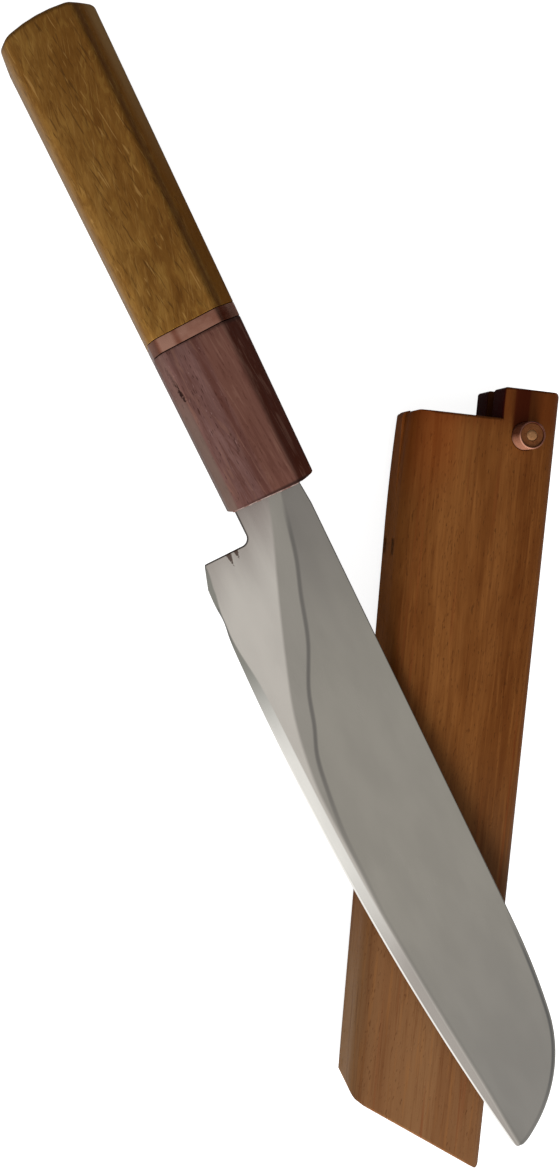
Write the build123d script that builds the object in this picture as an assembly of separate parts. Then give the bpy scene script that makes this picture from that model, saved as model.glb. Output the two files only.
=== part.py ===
from build123d import *

import os
from math import acos, asin, atan2, cos, hypot, radians, sin, tan

# A slim kitchen knife with an octagonal handle of two woods, lying across its wooden saya.
# The saya is the knife's sheath: two boards glued to a core that leaves a slot for the blade,
# with a pin that passes behind the blade's heel and locks the knife in.
# Row frame, in millimetres: origin in the middle of the saya's underside, +Z up,
# +Y along the saya towards its mouth, +X towards the side that takes the cutting edge.
# Knife frame: origin where the handle's axis leaves the ferrule, +X towards the tip,
# +Y towards the spine, +Z out of the blade's upper face.

# Saya, outside
saya_width = 39.4
saya_thickness = 19.0
long_edge_round = 4.0
arris_round = 0.7
mouth_corner_round = 2.0
tongue_corner_round = 2.5
step_corner_round = 0.8
end_corner_round = 3.0
point_round = 1.6
tongue_width = 16.0
tongue_reach = 7.7
closed_end = 16.3
end_slant = 20.6
end_taper = 2.0

# Saya, slot for the blade
slot_height = 4.4
spine_wall = 1.8
edge_wall = 2.2
slot_clearance = 0.5
tip_clearance = 1.2
ferrule_gap = 0.1

# Pin of the saya
pin_diameter = 6.8
pin_stand = 4.5
pin_foot_gap = 0.3
pin_side_inset = 9.7
pin_heel_play = 0.6
pin_fit = 0.05
pin_rim_round = 0.2
sleeve_wall = 0.55
plug_recess = 0.3
core_diameter = 2.7

# Blade, seen on its face
blade_reach = 178.0
heel_reach = 8.2
heel_depth = 21.7
sweep_start_reach = 14.0
sweep_start_depth = 23.6
tip_depth = 16.4
edge_sagitta = 4.25
neck_edge_depth = 9.6
neck_spine_height = 7.3
spine_shoulder_reach = 6.0
spine_shoulder_height = 7.8
crown_length = 26.0
spine_crest_height = 8.0
nose_length = 30.0
spine_drop_height = 6.3
choil_radius = 2.0
heel_round = 0.4
tip_round = 1.2

# Blade, through its thickness
blade_thickness = 2.6
tip_thickness = 2.0
grind_start_height = 2.2
grind_end_reach = 90.0
grind_angle = 2.0
bevel_width = 2.9
bevel_start_reach = 20.0
bevel_full_reach = 52.0
edge_thickness = 0.16
least_facet = 0.3
blade_stations = 15

# Tang, inside the handle
neck_inset = 8.0
tang_reach = 82.0
tang_root_width = 9.0
tang_end_width = 5.0

# Handle
handle_length = 117.2
ferrule_length = 39.9
spacer_length = 3.4
butt_width = 23.5
butt_thickness = 21.0
ferrule_end_width = 21.8
ferrule_end_thickness = 19.4
edge_chamfer_width = 1.8
edge_chamfer_depth = 3.2
spine_chamfer_width = 4.9
spine_chamfer_depth = 4.6
facet_round = 1.0
butt_crown_radius = 48.0
butt_rim_round = 1.0
ferrule_rim_round = 0.5
dowel_diameter = 14.0
ferrule_front_wall = 12.0
dowel_reach = 96.0
glue_gap = 0.05
tang_gap = 0.3
neck_gap = 0.15
neck_slot_spare = 0.8
seal_depth = 1.6
seal_margin = 0.4

# Resting place of the knife on the saya
rest_gap = 0.3
rest_turn = 31.25
ferrule_overhang = 36.0
ferrule_along = 69.4

# One overrun serves every cut
overrun = 5.0

spine_drop_reach = blade_reach - nose_length
spine_crest_reach = spine_drop_reach - crown_length
saya_length = tongue_reach + blade_reach + closed_end
board_thickness = (saya_thickness - slot_height) / 2
half_width = saya_width / 2
tongue_y = saya_length / 2
mouth_y = tongue_y - tongue_reach
point_y = -saya_length / 2
corner_y = point_y + end_slant
step_x = half_width - tongue_width
pin_radius = pin_diameter / 2
spacer_end = -ferrule_length - spacer_length


def nearest(items, point):
    """The edge or vertex whose middle lies closest to a point."""
    return items.sort_by_distance(Vector(point))[0]


# Saya

def saya_outline():
    """The saya seen from above, sharp-cornered: one tapering side, a stepped mouth, a slanted end."""
    return make_face(Polyline(
        (-half_width, mouth_y),
        (-half_width + end_taper, corner_y),
        (half_width, point_y),
        (half_width, tongue_y),
        (step_x, tongue_y),
        (step_x, mouth_y),
        close=True,
    ).edges())


def rounded_outline():
    """The same outline with its outer corners rounded."""
    outline = saya_outline()
    for x, y, radius in (
        (-half_width, mouth_y, mouth_corner_round),
        (-half_width + end_taper, corner_y, end_corner_round),
        (half_width, point_y, point_round),
        (half_width, tongue_y, tongue_corner_round),
        (step_x, tongue_y, step_corner_round),
    ):
        outline = fillet(nearest(outline.vertices(), (x, y, 0)), radius)
    return outline


def sheathed_point(along, across):
    """Where a point of the knife frame lies in plan when the knife is home in the saya."""
    spine_angle = atan2(spine_crest_height - spine_shoulder_height, spine_crest_reach - spine_shoulder_reach)
    side_angle = atan2(end_taper, mouth_y - corner_y)
    turn = spine_angle + side_angle
    start_x = -half_width + spine_wall + slot_clearance + spine_shoulder_height
    start_y = mouth_y + ferrule_gap
    x = start_x + along * sin(turn) - across * cos(turn)
    y = start_y - along * cos(turn) - across * sin(turn)
    return x, y


def rail_foot():
    """Where the slot's straight spine side ends: level with the crest of the sheathed blade."""
    return sheathed_point(spine_crest_reach, spine_crest_height + slot_clearance)


def slot_outline():
    """The slot seen from above: the blade's outline with clearance, open at the mouth."""
    left_top = (-half_width + spine_wall, tongue_y + overrun)
    left_foot = rail_foot()
    nose_start = sheathed_point(spine_drop_reach, spine_drop_height + slot_clearance)
    nose_end = sheathed_point(blade_reach + tip_clearance, -tip_depth)
    right_foot = (half_width - edge_wall, left_foot[1])
    right_top = (half_width - edge_wall, tongue_y + overrun)
    spine_side = Line(left_top, left_foot)
    crown = TangentArc(left_foot, nose_start, tangent=spine_side % 1)
    nose = TangentArc(nose_start, nose_end, tangent=crown % 1)
    edge_side = Polyline(nose_end, right_foot, right_top, left_top)
    return make_face([spine_side.edge(), crown.edge(), nose.edge(), *edge_side.edges()])


def pin_place():
    """The pin's axis in plan, just behind the heel of the sheathed blade."""
    heel_y = sheathed_point(heel_reach, -heel_depth)[1]
    return Pos(half_width - pin_side_inset, heel_y + pin_heel_play + pin_radius, 0)


def half_saya():
    """One board with its glue face down at height zero, well rounded along its two sides."""
    plate = extrude(rounded_outline(), board_thickness)
    plate = fillet(plate.faces().sort_by(Axis.Z)[-1].edges(), arris_round)
    bar = extrude(saya_outline(), board_thickness)
    top_edges = bar.faces().sort_by(Axis.Z)[-1].edges()
    tapered = nearest(top_edges, (-half_width, (mouth_y + corner_y) / 2, board_thickness))
    straight = nearest(top_edges, (half_width, (tongue_y + point_y) / 2, board_thickness))
    bar = fillet([tapered, straight], long_edge_round)
    hole = Cylinder(pin_radius + pin_fit, 2 * (board_thickness + overrun))
    return (plate & bar) - pin_place() * hole


def saya_core():
    """The layer between the boards, less the slot: a rail along each side and a block at the end."""
    slot = Pos(0, 0, -overrun) * extrude(slot_outline(), slot_height + 2 * overrun)
    core = extrude(rounded_outline(), slot_height) - slot
    mouth_half = Pos(0, rail_foot()[1] + saya_length, 0) * Box(2 * saya_width, 2 * saya_length, 2 * saya_thickness)
    rails = (core & mouth_half).solids().sort_by(Axis.X)
    end_block = (core - mouth_half).solid()
    seat = Pos(0, 0, board_thickness)
    return {
        "saya_spine_rail": seat * rails[0],
        "saya_edge_rail": seat * rails[-1],
        "saya_end_block": seat * end_block,
    }


def saya():
    """The two boards and the core between them."""
    board = half_saya()
    nodes = {
        "saya_front_board": Pos(0, 0, saya_thickness - board_thickness) * board,
        "saya_back_board": Pos(0, 0, board_thickness) * mirror(board, Plane.XY),
    }
    nodes.update(saya_core())
    return nodes


def pin():
    """A copper sleeve filled with a wooden plug round a thin rod."""
    length = saya_thickness + pin_stand - pin_foot_gap
    bore_radius = pin_radius - sleeve_wall
    core_radius = core_diameter / 2
    sleeve = Cylinder(pin_radius, length)
    sleeve = fillet(sleeve.edges(), pin_rim_round) - Cylinder(bore_radius, length + overrun)
    fill_length = length - 2 * plug_recess
    plug = Cylinder(bore_radius - glue_gap, fill_length) - Cylinder(core_radius + glue_gap, length)
    core = Cylinder(core_radius, fill_length)
    place = pin_place() * Pos(0, 0, pin_foot_gap + length / 2)
    return {"pin_sleeve": place * sleeve, "pin_plug": place * plug, "pin_core": place * core}


# Blade

def edge_depth(along):
    """How far below the handle's axis the cutting edge lies: a short slope at the heel, then one long arc."""
    if along < sweep_start_reach:
        slope = (sweep_start_depth - heel_depth) / (sweep_start_reach - heel_reach)
        return heel_depth + slope * (along - heel_reach)
    span = blade_reach - sweep_start_reach
    rise = sweep_start_depth - tip_depth
    chord = hypot(span, rise)
    radius = chord * chord / (8 * edge_sagitta) + edge_sagitta / 2
    tilt = asin(rise / chord)
    centre_along = (sweep_start_reach + blade_reach) / 2 - (radius - edge_sagitta) * sin(tilt)
    centre_depth = (sweep_start_depth + tip_depth) / 2 - (radius - edge_sagitta) * cos(tilt)
    return centre_depth + radius * cos(asin((along - centre_along) / radius))


def bevel_depth(along):
    """Where the cutting bevel meets the blade's side: it widens from a thin line ahead of the heel."""
    share = (along - bevel_start_reach) / (bevel_full_reach - bevel_start_reach)
    return edge_depth(along) - max(bevel_width * min(share, 1), least_facet)


def grind_depth(along):
    """Where the ground side leaves the flat: a slanting line that runs out into the bevel."""
    start = -grind_start_height
    end = bevel_depth(grind_end_reach)
    return min(start + (end - start) * along / grind_end_reach, bevel_depth(along) - least_facet)


def blade_outline():
    """The blade and its tang seen on the face."""
    shoulder = (spine_shoulder_reach, spine_shoulder_height)
    crest = (spine_crest_reach, spine_crest_height)
    drop = (spine_drop_reach, spine_drop_height)
    tip = (blade_reach, -tip_depth)
    heel = (heel_reach, -heel_depth)
    choil = (heel_reach, -neck_edge_depth)
    back = Line(shoulder, crest)
    crown = TangentArc(crest, drop, tangent=back % 1)
    nose = TangentArc(drop, tip, tangent=crown % 1)
    sweep_start = (sweep_start_reach, -sweep_start_depth)
    edge = SagittaArc(sweep_start, tip, -edge_sagitta)
    neck = Polyline(
        sweep_start,
        heel,
        choil,
        (-neck_inset, -neck_edge_depth),
        (-neck_inset, -tang_root_width / 2),
        (-tang_reach, -tang_end_width / 2),
        (-tang_reach, tang_end_width / 2),
        (-neck_inset, tang_root_width / 2),
        (-neck_inset, neck_spine_height),
        (0, neck_spine_height),
        shoulder,
    )
    outline = make_face([back.edge(), crown.edge(), nose.edge(), edge.edge(), *neck.edges()])
    for point, radius in ((choil, choil_radius), (heel, heel_round), (tip, tip_round)):
        outline = fillet(nearest(outline.vertices(), point), radius)
    return outline


def blade_section(along):
    """The blade's full section: flat, ground side, cutting bevel, mirrored about its middle."""
    thinning = max(along, 0) / blade_reach
    flat = (blade_thickness + (tip_thickness - blade_thickness) * thinning) / 2
    if along > 0:
        grind, bevel, edge = grind_depth(along), bevel_depth(along), edge_depth(along)
        side = flat - (bevel - grind) * tan(radians(grind_angle))
        lip = edge_thickness / 2
    else:
        grind, bevel, edge = -grind_start_height, heel_depth / 2, heel_depth
        side = lip = flat
    clear = spine_crest_height + overrun
    upper = [(clear, flat), (-grind, flat), (-bevel, side), (-edge, lip), (-edge - overrun, lip)]
    lower = [(across, -half) for across, half in reversed(upper)]
    return make_face(Polyline(*[(along, across, half) for across, half in upper + lower], close=True).edges())


def blade():
    """The outline's plate with its tang, trimmed by a wedge lofted through the sections."""
    plate = extrude(blade_outline(), blade_thickness, both=True)
    step = (blade_reach + overrun - heel_reach) / blade_stations
    places = [-tang_reach - overrun, 0] + [heel_reach + step * i for i in range(blade_stations + 1)]
    wedge = loft([blade_section(along) for along in places], ruled=True)
    return plate & wedge


# Handle

def octagon(along):
    """The handle's section at a place along it: small chamfers on the edge side, large on the spine side."""
    share = -along / handle_length
    side = (ferrule_end_width + (butt_width - ferrule_end_width) * share) / 2
    face = (ferrule_end_thickness + (butt_thickness - ferrule_end_thickness) * share) / 2
    upper = [
        (side, face - spine_chamfer_depth),
        (side - spine_chamfer_width, face),
        (-side + edge_chamfer_width, face),
        (-side, face - edge_chamfer_depth),
    ]
    lower = [(across, -height) for across, height in reversed(upper)]
    return make_face(Polyline(*[(along, across, height) for across, height in upper + lower], close=True).edges())


def octagonal_block(start, end):
    """A length of the tapering octagon with its long arrises eased."""
    block = loft([octagon(start), octagon(end)], ruled=True)
    long_edges = block.edges().filter_by_position(Axis.X, start, end, inclusive=(False, False))
    return fillet(long_edges, facet_round)


def along_axis(shape, start):
    """A shape that stands on the XY plane, laid along the handle's axis from a place on it."""
    return Pos(start, 0, 0) * Rot(0, 90, 0) * shape


def rod(radius, start, end):
    """A round rod on the handle's axis between two places."""
    return along_axis(Cylinder(radius, end - start, align=(Align.CENTER, Align.CENTER, Align.MIN)), start)


def neck_box(start, end, edge_side, spine_side, thickness):
    """A flat box round the blade's neck or tang, centred on its thickness."""
    middle = Pos((start + end) / 2, (spine_side - edge_side) / 2, 0)
    return middle * Box(end - start, spine_side + edge_side, thickness)


def handle_body():
    """The rear wood: crowned at the butt, with a blind bore for the dowel."""
    body = octagonal_block(-handle_length, spacer_end)
    centre = butt_crown_radius - handle_length
    crown = Pos(centre, 0, 0) * Sphere(butt_crown_radius) + rod(butt_crown_radius, centre, centre + handle_length)
    body = body & crown
    body = fillet(body.faces().filter_by(GeomType.SPHERE).edges(), butt_rim_round)
    return body - rod(dowel_diameter / 2 + glue_gap, -dowel_reach - glue_gap, 0)


def copper_spacer():
    """The band between the woods, with a bore for the dowel."""
    return octagonal_block(spacer_end, -ferrule_length) - rod(dowel_diameter / 2 + glue_gap, -dowel_reach, 0)


def seal_pocket(inset):
    """The shallow pocket in the ferrule's mouth that the seal fills, less an inset all round."""
    edge_side = neck_edge_depth + seal_margin - inset
    spine_side = neck_spine_height - inset
    thickness = blade_thickness + 2 * (seal_margin - inset)
    return neck_box(inset - seal_depth, 0, edge_side, spine_side, thickness)


def ferrule():
    """The front wood: a bore for the dowel behind a front wall that the neck's slot goes through."""
    block = octagonal_block(-ferrule_length, 0)
    front = block.faces().sort_by(Axis.X)[-1]
    block = fillet(front.edges(), ferrule_rim_round)
    bore = rod(dowel_diameter / 2 + glue_gap, -dowel_reach, -ferrule_front_wall)
    slot = neck_box(
        -ferrule_front_wall - overrun,
        overrun,
        neck_edge_depth + neck_gap,
        neck_spine_height + neck_slot_spare,
        blade_thickness + 2 * neck_gap,
    )
    return block - bore - slot - seal_pocket(0)


def slot_seal():
    """The bead of glue that closes the ferrule's slot round the neck, up to the spine."""
    neck = neck_box(
        -seal_depth - overrun,
        overrun,
        neck_edge_depth + glue_gap,
        neck_spine_height + overrun,
        blade_thickness + 2 * glue_gap,
    )
    return (seal_pocket(glue_gap) - neck).solid()


def tang_dowel():
    """The hardwood dowel that joins the woods, slotted from the front for the tang."""
    dowel = rod(dowel_diameter / 2, -dowel_reach, -ferrule_front_wall - glue_gap)
    half_slot = tang_root_width / 2 + tang_gap
    slot = neck_box(-tang_reach - tang_gap, 0, half_slot, half_slot, blade_thickness + 2 * tang_gap)
    return dowel - slot


def knife_place():
    """The resting plane: the blade's face on the saya's rounded edge, the butt's corner on the table."""
    turn = radians(rest_turn)
    lift = rest_gap + blade_thickness / 2
    lean_arm = long_edge_round + lift - butt_thickness / 2
    corner_along = handle_length - butt_rim_round
    corner_across = butt_width / 2 - edge_chamfer_width
    corner_reach = ferrule_overhang + corner_along * sin(turn) + corner_across * cos(turn)
    pivot_height = saya_thickness - long_edge_round
    tilt = acos(-pivot_height / hypot(lean_arm, corner_reach)) - atan2(corner_reach, lean_arm)
    across_plan = Vector(cos(tilt), 0, sin(tilt))
    along_plan = Vector(0, 1, 0)
    normal = Vector(-sin(tilt), 0, cos(tilt))
    pivot = Vector(-half_width + long_edge_round, ferrule_along, pivot_height)
    origin = pivot + normal * (long_edge_round + lift) - across_plan * ferrule_overhang
    towards_tip = across_plan * sin(turn) - along_plan * cos(turn)
    return Plane(origin=origin, x_dir=towards_tip, z_dir=normal).location


def knife():
    """Every piece of the knife, built in its own frame and laid in its resting place."""
    place = knife_place()
    pieces = {
        "blade": blade(),
        "tang_dowel": tang_dowel(),
        "ferrule": ferrule(),
        "slot_seal": slot_seal(),
        "copper_spacer": copper_spacer(),
        "handle_body": handle_body(),
    }
    return {name: place * piece for name, piece in pieces.items()}


os.makedirs("parts", exist_ok=True)
for node, shape in {**saya(), **pin(), **knife()}.items():
    export_step(shape, f"parts/{node}.step")
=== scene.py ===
import logging
import math
from contextlib import contextmanager
from dataclasses import dataclass, field
from enum import Enum
from typing import Callable, ClassVar, Iterable, Iterator, Sequence

import bmesh
import bpy
import numpy as np
from mathutils import Matrix, Vector
from mathutils.geometry import delaunay_2d_cdt


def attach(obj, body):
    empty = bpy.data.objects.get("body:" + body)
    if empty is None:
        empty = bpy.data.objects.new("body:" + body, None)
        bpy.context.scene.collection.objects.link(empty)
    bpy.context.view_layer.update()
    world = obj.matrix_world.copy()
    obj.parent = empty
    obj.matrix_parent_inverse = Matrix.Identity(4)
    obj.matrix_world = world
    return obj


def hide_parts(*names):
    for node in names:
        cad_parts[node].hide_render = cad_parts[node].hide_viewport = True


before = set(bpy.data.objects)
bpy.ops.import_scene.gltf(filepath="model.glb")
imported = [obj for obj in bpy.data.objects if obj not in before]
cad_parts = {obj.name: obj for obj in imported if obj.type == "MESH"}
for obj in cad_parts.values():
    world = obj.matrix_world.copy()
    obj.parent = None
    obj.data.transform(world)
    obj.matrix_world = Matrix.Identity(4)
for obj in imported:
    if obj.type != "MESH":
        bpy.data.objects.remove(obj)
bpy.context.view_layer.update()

# A slim kitchen knife with an octagonal handle of two woods, lying across its pinned wooden saya.
# Sizes are in millimetres and turned into metres when a piece is laid in place.
# Row frame: origin under the middle of the saya, +Z up, +Y towards the saya's mouth.
# Knife frame: origin where the handle's axis leaves the ferrule, +X towards the tip,
# +Y towards the spine, +Z out of the blade's upper face.

log = logging.getLogger("knife")

MM = 0.001
PIN_CENTRE = (10.0, 89.488)

Point2 = tuple[float, float]
Colour = tuple[int, int, int]
Socket = bpy.types.NodeSocket
Level = float | Socket
Measure = Callable[[np.ndarray], np.ndarray]


class Body(Enum):
    """The bodies that pieces ride on."""

    SAYA = "saya"
    KNIFE = "knife"
    PIN = "pin"


class Slot(Enum):
    """The record's material slots, one named for each piece."""

    SAYA = "saya_wood"
    COPPER = "copper"
    PIN = "pin_wood"
    CORE = "pin_core_wood"
    BLADE = "blade_steel"
    FERRULE = "ferrule_wood"
    SEAL = "seal_resin"
    HANDLE = "handle_wood"


class End(Enum):
    """How a length of octagonal stock ends."""

    JOINT = "joint"
    FACE = "face"
    CROWN = "crown"


def linear(colour: Colour) -> tuple[float, float, float, float]:
    """A screen colour of 0 to 255 a channel as the linear colour that sockets take.

    Args:
        colour: Red, green and blue.

    Returns:
        Linear red, green, blue and an alpha of 1.
    """
    parts = [c / 255 for c in colour]
    scene = [p / 12.92 if p <= 0.04045 else ((p + 0.055) / 1.055) ** 2.4 for p in parts]
    return scene[0], scene[1], scene[2], 1.0


def between(places: Sequence[Point2], at: float) -> float:
    """The value at a place on a line of straight runs.

    Args:
        places: Pairs of place and value, in order of place.
        at: The place asked for.

    Returns:
        The value there, held level beyond the ends.
    """
    xs, ys = zip(*places)
    return float(np.interp(at, xs, ys))


def eased(places: Sequence[Point2], at: float) -> float:
    """The value at a place on a smooth line through the given places.

    Args:
        places: Pairs of place and value, in order of place.
        at: The place asked for.

    Returns:
        The value there, from a cubic through the neighbours, held level beyond the ends.
    """
    if at <= places[0][0]:
        return places[0][1]
    if at >= places[-1][0]:
        return places[-1][1]
    i = max(k for k in range(len(places) - 1) if places[k][0] <= at)
    (x0, y0), (x1, y1) = places[i], places[i + 1]
    before = places[max(i - 1, 0)]
    after = places[min(i + 2, len(places) - 1)]
    span = x1 - x0
    m0 = (y1 - before[1]) / (x1 - before[0]) * span
    m1 = (after[1] - y0) / (after[0] - x0) * span
    t = (at - x0) / span
    return (
        (2 * t**3 - 3 * t**2 + 1) * y0
        + (t**3 - 2 * t**2 + t) * m0
        + (3 * t**2 - 2 * t**3) * y1
        + (t**3 - t**2) * m1
    )


def arc(centre: Point2, radius: float, start: float, end: float, steps: int) -> list[Point2]:
    """Points along a circular arc.

    Args:
        centre: The arc's centre.
        radius: Its radius.
        start: First angle in degrees.
        end: Last angle in degrees.
        steps: How many chords it is divided into.

    Returns:
        The points, both ends among them.
    """
    turns = np.radians(np.linspace(start, end, steps + 1))
    return [(centre[0] + radius * math.cos(a), centre[1] + radius * math.sin(a)) for a in turns]


def tangent_arc(start: Point2, heading: Point2, end: Point2, steps: int) -> tuple[list[Point2], Point2]:
    """An arc that leaves a point along a heading and reaches another point.

    Args:
        start: Where it begins.
        heading: The direction it leaves in, of length 1.
        end: Where it ends.
        steps: How many chords it is divided into.

    Returns:
        The points after the start, and the heading at the end.
    """
    chord = Vector(end) - Vector(start)
    side = Vector((-heading[1], heading[0]))
    radius = chord.length_squared / (2 * chord.dot(side))
    centre = Vector(start) + side * radius
    sweep = 2 * math.atan2(chord.dot(side), chord.dot(Vector(heading)))
    arm = Vector(start) - centre
    points = []
    for k in range(1, steps + 1):
        turned = Matrix.Rotation(sweep * k / steps, 2) @ arm
        points.append(tuple(centre + turned))
    leaving = Matrix.Rotation(sweep, 2) @ Vector(heading)
    return points, (leaving.x, leaving.y)


def rounded(corners: Sequence[tuple[float, float, float]], steps: int = 8) -> list[Point2]:
    """A closed outline with each corner rounded.

    Args:
        corners: Corner positions with the radius of each.
        steps: Chords to a corner.

    Returns:
        The outline's points in order.
    """
    outline: list[Point2] = []
    for i, (x, y, radius) in enumerate(corners):
        here = Vector((x, y))
        back = (Vector(corners[i - 1][:2]) - here).normalized()
        ahead = (Vector(corners[(i + 1) % len(corners)][:2]) - here).normalized()
        if radius <= 0:
            outline.append((x, y))
            continue
        half = back.angle(ahead) / 2
        reach = radius / math.tan(half)
        first, last = here + back * reach, here + ahead * reach
        centre = here + (back + ahead).normalized() * (radius / math.sin(half))
        a0, a1 = first - centre, last - centre
        sweep = math.atan2(a0.x * a1.y - a0.y * a1.x, a0.dot(a1))
        outline += [tuple(centre + Matrix.Rotation(sweep * k / steps, 2) @ a0) for k in range(steps + 1)]
    return outline


def resampled(outline: Sequence[Point2], pitch: float) -> list[Point2]:
    """A closed outline with its long sides divided.

    Args:
        outline: The outline's points.
        pitch: The longest side wanted.

    Returns:
        The outline's points with points added on long sides.
    """
    points: list[Point2] = []
    for i, here in enumerate(outline):
        ahead = outline[(i + 1) % len(outline)]
        parts = max(1, math.ceil(math.dist(here, ahead) / pitch))
        points += [
            (here[0] + (ahead[0] - here[0]) * k / parts, here[1] + (ahead[1] - here[1]) * k / parts)
            for k in range(parts)
        ]
    return points


def distance_to(points: np.ndarray, outline: Sequence[Point2]) -> np.ndarray:
    """How far points lie from a closed outline.

    Args:
        points: One row of two coordinates for each point.
        outline: The outline's points.

    Returns:
        One distance for each point.
    """
    a = np.array(outline, float)
    d = np.roll(a, -1, axis=0) - a
    lengths = np.maximum((d * d).sum(1), 1e-12)
    nearest = np.full(len(points), 1e9)
    for start, side, length in zip(a, d, lengths):
        t = np.clip(((points - start) @ side) / length, 0, 1)
        gap = np.hypot(*(points - start - t[:, None] * side).T)
        nearest = np.minimum(nearest, gap)
    return nearest


def inside(points: np.ndarray, outline: Sequence[Point2]) -> np.ndarray:
    """Which points lie inside a closed outline.

    Args:
        points: One row of two coordinates for each point.
        outline: The outline's points.

    Returns:
        True or False for each point.
    """
    a = np.array(outline, float)
    b = np.roll(a, -1, axis=0)
    crossings = np.zeros(len(points), int)
    for (x0, y0), (x1, y1) in zip(a, b):
        if y0 == y1:
            continue
        spans = (points[:, 1] >= min(y0, y1)) & (points[:, 1] < max(y0, y1))
        x = x0 + (points[:, 1] - y0) / (y1 - y0) * (x1 - x0)
        crossings += spans & (x > points[:, 0])
    return crossings % 2 == 1


def shares(angles: Sequence[float], guard: float) -> list[float]:
    """Shares of a round's radius at angles down it, and a last one just past it."""
    return [1 - math.cos(math.radians(a)) for a in angles] + [guard]


def fallen(radius: float, off: float | np.ndarray) -> float | np.ndarray:
    """How far a round falls away at a distance from its crown."""
    return radius - np.sqrt(np.maximum(0.0, radius**2 - off**2))


def kept_inside(points: Sequence[Point2], outline: Sequence[Point2], margin: float) -> list[Point2]:
    """Those points that lie well inside a closed outline.

    Args:
        points: The points.
        outline: The outline's points.
        margin: How far inside a point has to be.

    Returns:
        The points kept, in their order.
    """
    places = np.array(points)
    return [tuple(p) for p in places[inside(places, outline) & (distance_to(places, outline) > margin)]]


def inset(outline: Sequence[Point2], gap: float) -> list[Point2]:
    """A closed outline moved inwards.

    Args:
        outline: The outline's points, anticlockwise.
        gap: How far inwards.

    Returns:
        One moved point for each point.
    """
    a = np.array(outline, float)
    ahead = np.roll(a, -1, axis=0) - a
    ahead /= np.linalg.norm(ahead, axis=1)[:, None]
    back = np.roll(ahead, 1, axis=0)
    normal = np.stack([-(ahead + back)[:, 1], (ahead + back)[:, 0]], 1)
    normal /= np.linalg.norm(normal, axis=1)[:, None]
    lean = np.maximum((normal * np.stack([-ahead[:, 1], ahead[:, 0]], 1)).sum(1), 0.5)
    return [tuple(p) for p in a + normal * (gap / lean)[:, None]]


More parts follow.
